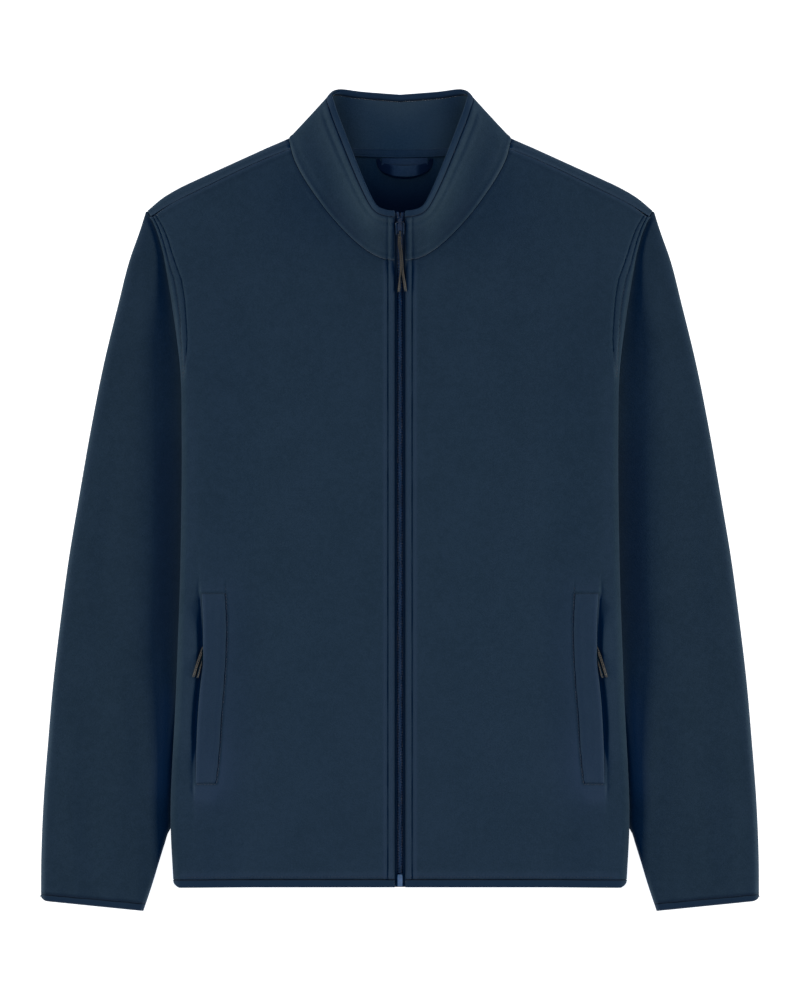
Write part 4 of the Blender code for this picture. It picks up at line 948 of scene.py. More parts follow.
def makeBack():
    coarse, corner, foldStart = backCoarse()
    last = len(coarse) - 1
    rows = np.unique(np.concatenate([np.linspace(0, corner, 80), np.linspace(corner, foldStart, 30),
                                     np.linspace(foldStart, last, 64)]))
    columns = steps((0, 6, 30), (6, 8, 30))
    half = refine(coarse, rows, columns, (corner,))
    half[..., 2] = np.where(rows[:, None] <= foldStart, np.maximum(half[..., 2], 0.0), half[..., 2])
    x, h = half[..., 0], half[..., 1]
    seam = np.column_stack([shoulderTable["seamX"], shoulderTable["seamH"]])
    onStrip = smooth((rows - last + 3) / 1.5)[:, None]
    fromSeam = distanceTo(seam, x, h)
    fromNeck = np.abs(half[:, :1, 0] - x)
    raised = onStrip * (0.4 * bell(fromSeam - 1.4, 1.5) - 0.35 * bell(fromSeam - 4.3, 1.3)
                        - 0.12 * dip(fromSeam, 0.9) - 0.3 * dip(fromNeck, 1.2))
    # the strip over the shoulder is painted paler, with a painted highlight on the seam's ridge and painted
    # shade in its groove
    paintedLightAndPaleEnds = onStrip * (0.34 + 0.42 * bell(fromSeam - 0.8, 1.8) - 0.15 * bell(fromSeam - 4.3, 1.3))
    # its inner face, seen through the neck, has painted shade below the neck tape
    under = (rows < foldStart)[:, None]
    inside = paintedLightAndPaleEnds - under * 0.85 * smooth((698 - h) / 50.0) * smooth((80 - x) / 12.0)
    # along the side seams and armholes underneath, the cloth is drawn in
    half[..., 2] += under * 0.5 * dip(half[:, -1:, 0] - x, 3.0)
    outer = half + normalsOf(half) * raised[..., None]
    whole = np.concatenate([outer[:, ::-1], outer * [-1, 1, 1]], axis=1)
    paintedLightAndPaleEnds, inside = (np.concatenate([v[:, ::-1], v], axis=1) for v in (paintedLightAndPaleEnds, inside))
    obj = shell("backCloth", whole, jacket["wall"], finish["back"], marks=paintedLightAndPaleEnds, insideMarks=inside,
                split=int(np.searchsorted(rows, corner)))
    ridesOn(obj, "jacket", "fleece", "back_panel")
    print("back made,", whole.shape[0], "by", whole.shape[1])


sleeve = dict(hidden=5.0, valley=3.9, lowValley=5.0, cut=(0.36, 0.66), area=0.160,
              tuckX=1.8, tuckH=0.6, tuckZ=4.2,
              out=[-10, 0, 24, 45, 70, 90, 110], climb=[0.0, 0.0, 3.4, 6.2, 8.2, 9.6, 10.2],
              riseH=[-20, 40, 83, 121, 179, 256, 372, 468, 516, 565, 622, 650],
              rise=[0.38, 0.38, 0.42, 0.46, 0.54, 0.90, 1.06, 0.98, 0.80, 0.56, 0.40, 0.36])
cuff = dict(outerH=-12.6, innerH=-22.5, outerX=344.8, across=98.0, rows=9, cornerRadius=7.0)
sleeveFolds = [  # lengthwise folds: share across the top from the outer edge, heights, width, height
    dict(share=0.22, low=-10, high=150, width=9.0, height=0.94),
    dict(share=0.40, low=-10, high=90, width=8.0, height=-0.77),
    dict(share=0.33, low=120, high=330, width=13.0, height=-0.68),
    dict(share=0.18, low=240, high=430, width=12.0, height=0.77),
    dict(share=0.42, low=300, high=470, width=12.0, height=0.59),
    dict(share=0.58, low=40, high=230, width=12.0, height=0.77),
    dict(share=0.75, low=-15, high=70, width=8.0, height=0.68),
]


def sleeveTop(x, h):
    # top of a sleeve: pressed flat under the body, in a valley beside it, full further out
    out = x - bodyEdge(np.clip(h, 0.0, bodyTopH))
    nearShoulder = smooth((h - 600.0) / 50.0)
    across = np.interp(h, sleeve["riseH"], sleeve["rise"])
    low = 1 - smooth((h - 110.0) / 130.0)
    valley = sleeve["valley"] + sleeve["lowValley"] * low
    rise = sleeve["hidden"] + (valley - sleeve["hidden"]) * smooth((out + 8.0 - 4.0 * low) / 8.0)
    climb = through(sleeve["out"], sleeve["climb"], np.clip(out / across, -10, 110))
    return rise + climb * (1 - 0.3 * nearShoulder)


ringTop = np.array([sleeveOuterTable["half"][0], sleeveOuterTable["h"][0]])


def armholeFront():
    # the sleeve's side of the armhole: down the front's edge, then under to the underarm
    hs = np.concatenate([np.linspace(shoulderTable["seamH"][-1], jacket["sideTopH"], 40),
                         np.linspace(jacket["sideTopH"] - 2, jacket["underarmH"], 12)])
    x = bodyEdge(hs) + jacket["gap"] - jacket["seamIn"] * underSeam(hs)
    return np.concatenate([[ringTop], np.column_stack([x, hs])])


def armholeBack():
    hs = np.linspace(backArmholeTable["h"][-1], jacket["underarmH"], 40)
    x = fromTable(backArmholeTable, hs) + 2 * jacket["gap"]
    points = np.concatenate([[ringTop], np.column_stack([x, hs])])
    points[-1] = armholeFront()[-1]
    return points


def sleeveRings(outerH, innerH, follow, frontShares, backShares):
    # one ring per station: the top layer from the outer edge in, then the lower one back;
    # each layer is a straight line across plus its share of the armhole's bend
    outer = np.stack([fromTable(sleeveOuterTable, outerH), outerH], axis=-1)
    inner = np.stack([fromTable(sleeveInnerTable, innerH), innerH], axis=-1)
    layers = []
    for hole, shares, above in ((armholeFront(), frontShares, 1), (armholeBack(), backShares, -1)):
        t = shares[None, :, None]
        chord = outer[:, None] + (inner - outer)[:, None] * t
        bend = along(hole, shares) - (hole[0] + (hole[-1] - hole[0]) * shares[:, None])
        plan = chord + bend[None] * follow[:, None, None]
        width = np.linalg.norm(inner - outer, axis=1)[:, None]
        top = sleeveTop(plan[..., 0], plan[..., 1])
        near = np.minimum(shares[None] * width / 6.0, (1 - shares[None]) * width / 4.0)
        closing = np.sqrt(1 - (1 - np.clip(near, 0, 1)) ** 2)
        layers.append(np.concatenate([plan, (top / 2 * (1 + above * closing))[..., None]], axis=2))
    return np.concatenate(layers, axis=1)


def sleeveShares(count):
    # more points where the ring folds at its two edges
    ends = 0.012 * np.array([0.0, 0.04, 0.12, 0.25, 0.42, 0.65, 1.0, 1.6])
    return np.unique(np.concatenate([ends, np.linspace(0.03, 0.97, count), 1 - ends * 0.8]))


def sleeveRelief(points, frontCount, side):
    # height and marks of a sleeve's top layer: its lengthwise folds, and the cloth at the cuff
    x, h = points[..., 0], points[..., 1]
    top = np.zeros(x.shape)
    top[:, 1:frontCount - 1] = 1.0
    outside = fromTable(sleeveOuterTable, np.clip(h, -20, 648))
    edge = bodyEdge(np.clip(h, 0, bodyTopH))
    width = np.maximum(outside - edge, 20.0)
    fromOuter = outside - x
    raised = np.zeros(x.shape)
    for f in sleeveFolds:
        mid = (f["low"] + f["high"]) / 2
        half = (f["high"] - f["low"]) / 2
        bent = 2.5 * np.sin(h / 31.0 + f["share"] * 9 + side)
        lengthwise = np.exp(-np.abs((h - mid) / half) ** 4)
        raised += f["height"] * bell(fromOuter - f["share"] * width - bent, f["width"]) * lengthwise
    # small waves where the cuff's binding draws the cloth in
    outerEnd, innerEnd = sleeveStations["outerH"][-1], sleeveStations["innerH"][-1]
    fromCuff = h - outerEnd - (innerEnd - outerEnd) * np.clip((cuff["outerX"] - x) / cuff["across"], 0, 1)
    raised += 0.45 * np.sin(x / 3.9 + np.sin(x / 13.0) * 1.5 + side) * bell(fromCuff - 4, 6.0)
    raised += 0.4 * bell(fromCuff - 4.0, 3.0) - 0.25 * dip(fromCuff, 1.6)
    inside = fromTable(sleeveInnerTable, np.clip(h, -22, 463))
    raised *= top * smooth((fromOuter - 1.0) / 7.0) * np.where(h > 80, 1.0, smooth((x - inside - 1.0) / 7.0))
    # painted highlights near the cuff and along the outer fold, and painted shade at the cuff's border
    paintedLightAndPaleEnds = top * (0.12 * bell(fromCuff - 4.5, 4.0) + 0.3 * bell(fromOuter - 3.0, 4.0)
                 - 0.5 * ramp(fromCuff, 1.6))
    # painted shade makes the valley beside the body darker, and low down painted light makes it paler instead
    paintedLightAndPaleEnds -= top * 0.28 * smooth((32.0 - x + edge) / 14.0) * smooth((h - 200) / 70.0) * smooth((460 - h) / 60.0)
    paintedLightAndPaleEnds += top * 0.8 * bell(x - edge - 9.0, 9.0) * smooth((215 - h) / 50.0) * smooth((h - 70) / 30.0)
    return raised, np.clip(paintedLightAndPaleEnds, -1, 1)


def makeCuffRing(frontShares, backShares):
    # the binding on the sleeve's end: thinner at both borders, its outer lower corner rounded
    ends = [np.linspace(sleeveStations[key][-1] - jacket["gap"], cuff[key], cuff["rows"])
            for key in ("outerH", "innerH")]
    ring = sleeveRings(*ends, np.zeros(cuff["rows"]), frontShares, backShares)
    down = np.linspace(0, 1, cuff["rows"])
    roundOff = np.sqrt(1 - np.clip((down - 0.72) / 0.28, 0, 1) ** 2 * 0.75)
    roundIn = np.sqrt(1 - np.clip((0.22 - down) / 0.22, 0, 1) ** 2 * 0.15)
    middle = ring[..., 2].mean(axis=1, keepdims=True)
    ring[..., 2] = middle + (ring[..., 2] - middle) * (roundOff * roundIn)[:, None]
    radius = cuff["cornerRadius"]
    past = np.clip((ring[..., 0] - ring[..., 0].max(axis=1, keepdims=True) + radius) / radius, 0, 1)
    kept = 1 - 0.85 * (1 - np.sqrt(1 - past ** 2))
    ring[..., 1] = ring[:1, :, 1] + (ring[..., 1] - ring[:1, :, 1]) * kept
    return ring


def makeSleeves():
    frontShares, backShares = sleeveShares(88), sleeveShares(46)[-2:0:-1]
    at = steps((0, 1, 22), (1, 5, 50), (5, 13, 90))
    index = np.arange(len(sleeveStations["outerH"]))
    outerH, innerH, follow = (through(index, sleeveStations[key], at)
                              for key in ("outerH", "innerH", "armhole"))
    rings = sleeveRings(outerH, innerH, np.clip(follow, 0, 1.06), frontShares, backShares)
    # the border at the armhole is turned in under the body's edge
    tucked = rings[:1].copy()
    count = len(frontShares)
    amount = np.concatenate([smooth((1 - frontShares) / 0.15), np.zeros(len(backShares))])
    amount[-3:] = [0.3, 0.6, 0.85]
    tucked[0, :, 0] -= sleeve["tuckX"] * amount
    tucked[0, :, 1] += sleeve["tuckH"] * amount
    tucked[0, :count, 2] = np.minimum(tucked[0, :count, 2], sleeve["tuckZ"])
    rings = np.concatenate([tucked, rings])
    cuffRing = makeCuffRing(frontShares, backShares)
    for word, side in sides:
        raised, paintedLightAndPaleEnds = sleeveRelief(rings, len(frontShares), side)
        outer = rings + closedNormals(rings) * raised[..., None]
        obj = shell("sleeveCloth" + word.capitalize(), outer, jacket["wall"], finish["sleeve"], side,
                    ring=True, marks=paintedLightAndPaleEnds)
        ridesOn(obj, "jacket", "fleece", "sleeve_" + word)
        obj = shell("cuffBand" + word.capitalize(), cuffRing, jacket["wall"], finish["cuff"], side, ring=True)
        ridesOn(obj, "jacket", "binding", "cuff_binding_" + word)
    print("sleeves made,", rings.shape[0], "by", rings.shape[1])


collar = dict(rows=44, bandRows=13, cut=(0.066, 0.50), area=0.0251, seamRidge=0.55, lap=0.24)


def collarGrid(part, rows):
    # straight across from the neck seam to the top edge, at every place along both: neck + (top - neck)
    # * share. The cloth goes up to the binding, and the binding from there to the edge
    at = steps((0, 3, 30), (3, 5, 50), (5, 13, 90))
    neck, top = collarRing("neck", at), collarRing("top", at)
    length = np.linalg.norm(top - neck, axis=1)
    clothEnd = 1 - jacket["collarBinding"] / length
    low, high = (0 * length, clothEnd) if part == "cloth" else (clothEnd, np.ones_like(length))
    share = low + (high - low) * np.linspace(0, 1, rows)[:, None]
    points = neck[None] + (top - neck)[None] * share[..., None]
    points[:, 0, 0] = 0.0
    return points, share * length[None], length, at


def wholeRing(half):
    # a half from the centre back to the centre front, and its mirror; numbers are mirrored unchanged
    other = half * [-1, 1, 1] if half.ndim == 3 else half
    return np.concatenate([other[:, ::-1], half[:, 1:]], axis=1)


def collarRelief(points, up, length, at):
    # height and marks of the collar, outside and inside: seams at both borders, and beside the zip.
    # "at" runs from the centre back, 0, round the side fold, 4.2 and on, to the centre front, 13
    at = at[None]
    down = (length - jacket["collarBinding"])[None] - up
    isFront = smooth((at - 4.2) / 1.2)
    fromZip = np.abs(points[..., 0]) - jacket["zipSlot"]
    nearZip = smooth((at - 10) / 1.5)
    raised = collar["seamRidge"] * bell(up - 2.2, 1.6) - 0.1 * dip(up, 1.0)
    raised += isFront * (0.5 * bell(down - 3.2, 2.4) - 0.5 * bell(down - 8.5, 1.6)
                         + 0.35 * bell(down - 12.5, 3.0))
    raised -= (0.2 + 0.4 * isFront) * dip(down, 1.4)
    # the front is a little hollow between its seam and its edge, as it rolls over
    raised -= isFront * 1.2 * bell(up - 0.45 * length[None], 12.0) * smooth((12.5 - at) / 3.0)
    raised += nearZip * (0.6 * bell(fromZip - 3.2, 2.0) - 0.8 * bell(fromZip - 6.6, 0.9)
                         - 0.8 * dip(fromZip, 1.4))
    # painted highlights on the seams' ridges and beside the zip, and painted shade on the front's lower part
    # and at its borders
    seamPale = 0.6 - 0.3 * smooth((at - 7.0) / 2.0)
    paintedLightAndPaleEnds = isFront * (0.16 * smooth((8.5 - at) / 2.0) + seamPale * bell(up - 1.8, 1.7)
                     + 0.15 * bell(up - 9.5, 1.6) + 0.12 * bell(down - 4.0, 3.0)
                     + 0.08 * bell(down - 13, 3.5))
    paintedLightAndPaleEnds += nearZip * 0.25 * bell(fromZip - 3.4, 2.2)
    paintedLightAndPaleEnds -= isFront * 0.4 * bell(up - 7.0, 9.0) * smooth((at - 7.0) / 2.0) * (1 - nearZip)
    paintedLightAndPaleEnds -= (0.1 + 0.9 * isFront) * ramp(down, 1.6) + nearZip * ramp(fromZip, 1.2)
    # painted light: the back's inner face is painted paler in its middle
    inside = (1 - isFront) * 0.6 * smooth((56.0 - np.abs(points[..., 0])) / 26.0) * smooth((up + 4.0) / 10.0)
    return raised, np.clip(paintedLightAndPaleEnds, -1, 1), np.clip(paintedLightAndPaleEnds + inside, -1, 1), 1 - isFront


def makeCollar():
    points, up, length, at = collarGrid("cloth", collar["rows"])
    relief = collarRelief(points, up, length, at)
    # its lower border laps the last of the seam's gap
    across = points[0] - points[1]
    points[0] += collar["lap"] * across / np.linalg.norm(across, axis=1, keepdims=True)
    flipped = wholeRing(points)[:, ::-1]
    raised, paintedLightAndPaleEnds, inside, behind = (wholeRing(v)[:, ::-1] for v in relief)
    outer = flipped + normalsOf(flipped) * raised[..., None]
    wall = jacket["collarWall"] + raised * behind    # the back's inner face stays plain
    obj = shell("collarCloth", outer, wall, finish["collar"], marks=paintedLightAndPaleEnds, insideMarks=inside)
    ridesOn(obj, "jacket", "fleece", "collar")
    # the binding folds over the top edge: a half round section
    band = wholeRing(collarGrid("binding", collar["bandRows"])[0])[:, ::-1]
    s = np.linspace(0, 1, collar["bandRows"])[:, None]
    puff = (0.35 * np.sin(np.pi * np.clip(s * 1.05, 0, 1)) - 0.4 * dip(s, 0.16)
            - np.clip((s - 0.84) / 0.16, 0, 1) ** 2)
    puff = np.broadcast_to(puff, band.shape[:2])
    band = band + normalsOf(band) * puff[..., None]
    # painted shade along the binding's lower border, where it meets the collar
    marks = -0.5 * ramp(s, 0.14) * (np.abs(band[..., 0]) > 5) * (band[..., 2] > 3)
    obj = shell("collarBand", band, jacket["collarWall"] + 2 * puff, finish["binding"], marks=marks)
    ridesOn(obj, "jacket", "binding", "collar_binding")
    print("collar made,", outer.shape[0], "by", outer.shape[1])


hem = dict(rows=12, cornerRadius=6.0, frontAbove=5.0, backWall=2.6)


def makeHem():
    # a band along the fronts, round the sides and across the back
    h = np.linspace(0.0, jacket["hemBinding"] - 0.2, hem["rows"])
    half = levelRows(h, steps((0, 1, 90)), np.linspace(0, np.pi / 2, 13)[1:], np.linspace(0, 1, 12)[1:])
    edge = bodyEdge(h)
    backX = (edge - jacket["seamIn"])[:, None] * (1 - np.linspace(0, 1, 50)[None, 1:])
    backH = np.broadcast_to(h[:, None], backX.shape)
    half = np.concatenate([half, inPlan(backX, backH, liftUnder(backX, backH))], axis=1)
    # the lower corner is rounded: each column starts where a quarter circle has risen to
    radius, topH = hem["cornerRadius"], h[-1]
    past = np.clip((half[..., 0] - (edge[0] - radius)) / radius, 0, 1)
    start = radius * (1 - np.sqrt(1 - past ** 2))
    half[..., 1] = start + (topH - start) * half[..., 1] / topH
    s = np.linspace(0, 1, hem["rows"])[:, None]
    thin = 1.2 * dip(s, 0.2) + 0.9 * np.clip((s - 0.86) / 0.14, 0, 1) ** 2
    ring = np.concatenate([half, (half * [-1, 1, 1])[:, ::-1][:, 1:]], axis=1)
    puff = (0.3 * np.sin(np.pi * s) - thin) * (ring[..., 2] > hem["frontAbove"])
    ring = ring + normalsOf(ring) * puff[..., None]
    wall = np.where(ring[..., 2] > hem["frontAbove"], jacket["bindingWall"] - thin, hem["backWall"])
    # painted shade along the binding's upper border
    marks = np.broadcast_to(-0.4 * np.clip((s - 0.8) / 0.2, 0, 1), ring.shape[:2])
    obj = shell("hemBand", ring, wall, finish["binding"], marks=marks)
    ridesOn(obj, "jacket", "binding", "hem_binding")
    print("hem made")


welt = dict(thick=2.2, wall=1.9, rise=3.2, cut=(0.03, 0.19), area=0.0044)


def makeWelts():
    h = np.linspace(weltTable["h"][0], weltTable["h"][-1], 120)
    outer, inner = weltEdges(h)
    share = steps((0, 0.12, 5), (0.12, 0.86, 19), (0.86, 1, 9))
    x = inner[:, None] + (outer - inner)[:, None] * share[None]
    level = np.broadcast_to(h[:, None], x.shape)
    # it stands off the front towards its opening edge, and is sewn down at both ends
    ends = (smooth((h - h[-1]) / 50.0) * smooth((h[0] - h) / 16.0))[:, None]
    lift = jacket["gap"] + (welt["rise"] - jacket["gap"]) * smooth(share / 0.7)[None] * ends
    fromOuter, fromInner = outer[:, None] - x, x - inner[:, None]
    fromEnd = np.minimum(h - h[-1], h[0] - h)[:, None]
    raised = (0.35 * bell(fromInner - 3.0, 1.8) + 0.3 * bell(fromOuter - 3.0, 2.0)
              - 0.9 * dip(fromOuter, 1.6) - 0.45 * dip(fromInner, 1.3) - 0.45 * dip(fromEnd, 1.3)
              + 0.30 * np.sin(level / 21.0 + 0.7) * np.sin(np.pi * share[None])
              + 0.22 * bell(level - 262, 5.0) * share[None])
    points = inPlan(x, level, frontTop(x, level) + lift + welt["thick"] + raised)[::-1]
    # painted highlights: the welt is painted paler, most at its opening edge and low down, and less at its
    # sewn ends and edge
    paintedLightAndPaleEnds = 0.55 + 0.25 * smooth((170 - level) / 60.0) + 0.45 * bell(fromOuter - 1.6, 1.5)
    paintedLightAndPaleEnds = np.clip(paintedLightAndPaleEnds - 0.3 * ramp(fromEnd, 1.0) - 0.3 * ramp(fromInner, 1.0), -1, 1)[::-1]
    for word, side in sides:
        obj = shell("weltCloth" + word.capitalize(), points, welt["wall"], finish["body"], side, marks=paintedLightAndPaleEnds)
        ridesOn(obj, "jacket", "fleece", "pocket_welt_" + word)
    print("welts made")


zipSizes = dict(tapeIn=2.2, tapeOut=10.5, tapeDeep=3.6, tapeThick=0.8, tapeLow=1.0, tapeHigh=643.0,
                chainLow=12.8, chainHigh=647.0, chainTop=0.9, partH=637.0, parted=1.6)
tooth = dict(pitch=1.5, width=2.55, thick=0.95, lapsMiddle=0.35, sides=6,
             along=[0.0, 0.08, 0.3, 0.6, 0.88, 1.0], fat=[0.45, 0.95, 0.85, 0.85, 0.8, 0.35])
slider = dict(low=626.5, high=638.0, half=4.0, thick=3.8, rings=15, sides=48, railRadius=0.55)


def zipPath(lowH, highH, count):
    # the centre front's line (h, z) of the jacket's face, up the body and up the collar
    neck, top = collarRing("neck", np.array([13.0]))[0], collarRing("top", np.array([13.0]))[0]
    h = np.linspace(lowH, highH, count)
    slope = (top[2] - neck[2]) / (top[1] - neck[1])
    body = centreFrontZ(np.minimum(h, neck[1]))
    z = np.where(h < neck[1], body, neck[2] + (h - neck[1]) * slope)
    return np.column_stack([h, soften(z, 2)])


def sunk(path, depth):
    # the line moved into the jacket by a depth, square to the line
    run = np.gradient(path, axis=0)
    run /= np.linalg.norm(run, axis=1, keepdims=True)
    return path - np.column_stack([-run[:, 1], run[:, 0]]) * depth


def makeSlider():
    # a rounded body that closes over the coil, and two worn rails along its sides
    line = zipPath(620.0, 645.0, 60)
    low, high = (np.array([h, np.interp(h, line[:, 0], line[:, 1])]) for h in (slider["low"], slider["high"]))
    run = (high - low) / np.linalg.norm(high - low)
    up, middle = np.array([-run[1], run[0]]), (low + high) / 2
    long = np.linalg.norm(high - low) / 2

    def placed(x, s, n):
        x, s, n = np.broadcast_arrays(x, s, n)
        return np.stack([x, middle[0] + s * run[0] + n * up[0], middle[1] + s * run[1] + n * up[1]], axis=-1)

    # rings of a rounded rectangle, smaller towards the bottom and the top
    turn = np.linspace(0, 2 * np.pi, slider["sides"], endpoint=False)[None]
    lift = np.linspace(-1, 1, slider["rings"])[:, None]
    size = np.clip(1 - np.abs(lift) ** 4, 0, 1) ** 0.4 * 0.9 + 0.1
    wide, tall = (np.sign(v) * np.abs(v) ** 0.55 for v in (np.cos(turn), np.sin(turn)))
    shape = placed(slider["half"] * (1 + 0.08 * tall) * wide * size, long * tall * size,
                   -0.4 + slider["thick"] / 2 * lift)
    faces = tubeFaces(np.arange(shape[..., 0].size).reshape(1, slider["rings"], slider["sides"]))
    obj = newPiece("zipSliderBody", onTable(shape.reshape(-1, 3)), faces, finish["metal"])
    ridesOn(obj, "jacket", "zip_metal", "zip_slider")
    s = np.linspace(-0.92, 0.92, 20)
    height = slider["thick"] / 2 - 0.2 - 0.7 * np.abs(s) ** 6
    vertices, faces = many([tubeAlong(placed(side * (slider["half"] - 0.5 + 0.15 * s), long * s, height),
                                      slider["railRadius"], 8) for side in (1, -1)])
    obj = newPiece("zipSliderRails", onTable(vertices), faces, finish["rail"])
    ridesOn(obj, "jacket", "zip_metal", "zip_slider")


def toothRow(path, side, start):
    # one row of the coil: rounded loops that reach out from the middle and turn down at their ends.
    # each is six rings, and a ring lies in the plane of the zip's run and its normal
    length = lengthAlong(path)
    n = int(length[-1] / tooth["pitch"]) - 1
    at = (np.arange(n) + start + 0.5) * tooth["pitch"]
    placeH, placeZ = (np.interp(at, length, path[:, k])[:, None, None] for k in (0, 1))
    runH, runZ = (np.interp(at, length, np.gradient(path[:, k], length))[:, None, None] for k in (0, 1))
    t = np.array(tooth["along"])
    parted = zipSizes["parted"] * np.clip((placeH[..., 0] - zipSizes["partH"]) / 10.0, 0, 1) ** 1.3
    across = side * (parted - tooth["lapsMiddle"] + (tooth["width"] + tooth["lapsMiddle"]) * t[None])
    down = 0.25 + 1.6 * (1 - np.sqrt(1 - np.clip((t - 0.35) / 0.65, 0, 1) ** 2))
    fat = tooth["thick"] / 2 * np.array(tooth["fat"])
    a = np.linspace(0, 2 * np.pi, tooth["sides"], endpoint=False) + np.pi / 6
    alongRun = (fat[:, None] * np.cos(a) * 1.12)[None]
    upwards = (fat[:, None] * np.sin(a) - fat[:, None] - down[:, None] + 0.25)[None]
    h = placeH + alongRun * runH - upwards * runZ
    z = placeZ + alongRun * runZ + upwards * runH
    vertices = np.stack([np.broadcast_to(across[..., None], h.shape), h, z], axis=-1).reshape(-1, 3)
    faces = tubeFaces(np.arange(h.size).reshape(h.shape))
    return vertices, turned(faces) if side < 0 else faces


def makeZip():
    line = sunk(zipPath(zipSizes["tapeLow"], zipSizes["tapeHigh"], 220), zipSizes["tapeDeep"])
    x = np.linspace(zipSizes["tapeIn"], zipSizes["tapeOut"], 10)
    h, z = (np.repeat(line[:, k:k + 1], len(x), axis=1) for k in (0, 1))
    tape = inPlan(x, h, z)
    for word, side in sides:
        obj = shell("zipTape" + word.capitalize(), tape, zipSizes["tapeThick"], finish["tape"], side)
        ridesOn(obj, "jacket", "zip_tape", "zip_tape_" + word)
    # the coil: two rows that mesh at the middle, half a pitch apart
    path = sunk(zipPath(zipSizes["chainLow"], zipSizes["chainHigh"], 1200), zipSizes["chainTop"])
    vertices, faces = many([toothRow(path, 1, 0.0), toothRow(path, -1, 0.5)])
    obj = newPiece("zipCoil", onTable(vertices), faces, finish["coil"])
    ridesOn(obj, "jacket", "zip_coil", "zip_chain")
    makeSlider()
    print("zip made,", len(vertices) // (len(tooth["along"]) * tooth["sides"]), "teeth")


laceSizes = dict(radius=1.2, sides=12, paleEnd=16.0)
laceLeft = [(-0.2, 625.0, 44.6), (0.0, 616.0, 38.4), (1.3, 608.0, 32.8), (1.9, 599.0, 28.0),
            (2.6, 590.0, 24.4), (4.2, 581.0, 21.8), (5.5, 572.0, 20.3)]
laceRight = [(-0.6, 625.0, 43.0), (-0.7, 616.0, 36.0), (0.5, 608.0, 29.8), (1.0, 599.0, 25.0),
             (0.9, 590.0, 22.2), (-0.1, 581.0, 20.6), (-1.3, 571.5, 19.4)]
# a pocket's two tails: x, h and height above the front
pocketLaces = dict(a=[(188.4, 231.2, 2.8), (190.4, 226.0, 3.4), (192.8, 219.0, 4.4), (195.5, 210.5, 5.0),
                      (198.0, 202.0, 4.9)],
                   b=[(185.6, 231.2, 2.8), (187.6, 226.0, 2.8), (189.8, 219.0, 3.2), (192.2, 210.5, 3.9),
                      (194.2, 201.5, 4.2)])


def makeLace(name, points, node, body, side=1):
    # a round lace on a smooth curve through the points, thinner at both cut ends
    points = np.array(points, dtype=float)
    at = lengthAlong(points)
    fine = np.linspace(0, at[-1], max(24, int(at[-1])))
    route = np.column_stack([through(at, points[:, k], fine) for k in range(3)])
    s = fine / at[-1]
    thinner = 0.25 * np.clip((s - 0.97) / 0.03, 0, 1) + 0.3 * np.clip((0.02 - s) / 0.02, 0, 1)
    radius = laceSizes["radius"] * (1 - thinner)
    vertices, faces = tubeAlong(route, radius, laceSizes["sides"])
    marks = np.repeat(smooth((fine - at[-1] + laceSizes["paleEnd"]) / 13.0), laceSizes["sides"])
    around = np.arange(laceSizes["sides"]) / laceSizes["sides"] * 0.0085
    uv = np.stack([np.tile(around, len(fine)), np.repeat(fine, laceSizes["sides"]) * mm], axis=1)
    if side < 0:
        faces = turned(faces)
    obj = newPiece(name, onTable(vertices, side), faces, finish["lace"], marks, uv)
    ridesOn(obj, body, "lace", node)
    path = onTable(route, side)


def makeLaces():
    makeLace("zipLaceLeft", laceLeft, "zip_lace_left", "zip_pull")
    makeLace("zipLaceRight", laceRight, "zip_lace_right", "zip_pull")
    for word, side in sides:
        for letter, tail in pocketLaces.items():
            points = [(x, h, float(frontTop(x, h)) + above) for x, h, above in tail]
            makeLace(f"pocketLace{word.capitalize()}{letter.upper()}", points, f"pocket_lace_{word}_{letter}",
                     "jacket", side)
    print("laces made")


neck = dict(tapeHalf=62.0, tapeLow=-0.2, tapeHigh=7.8, tapeTop=4.6, tapeH=700.9, sag=0.0008, wall=0.9,
            loopAt=4.5, loopH=700.0, loopHalf=27.5, loopDrop=17.8, loopBand=10.8, loopSide=3.4, loopLift=7.0,
            loopZ=4.4, runHalf=22.3, runLow=-7.6, runHigh=-0.4, runH=700.6, runTop=5.6)


def bandAcross(half, middle, columns, low, high, rows, baseH):
    # x, distance up the band, and h of a band whose middle hangs a little lower than its ends
    x = np.linspace(middle - half, middle + half, columns)
    up = np.linspace(low, high, rows)
    return x, up, baseH + neck["sag"] * x[None] ** 2 + up[:, None]


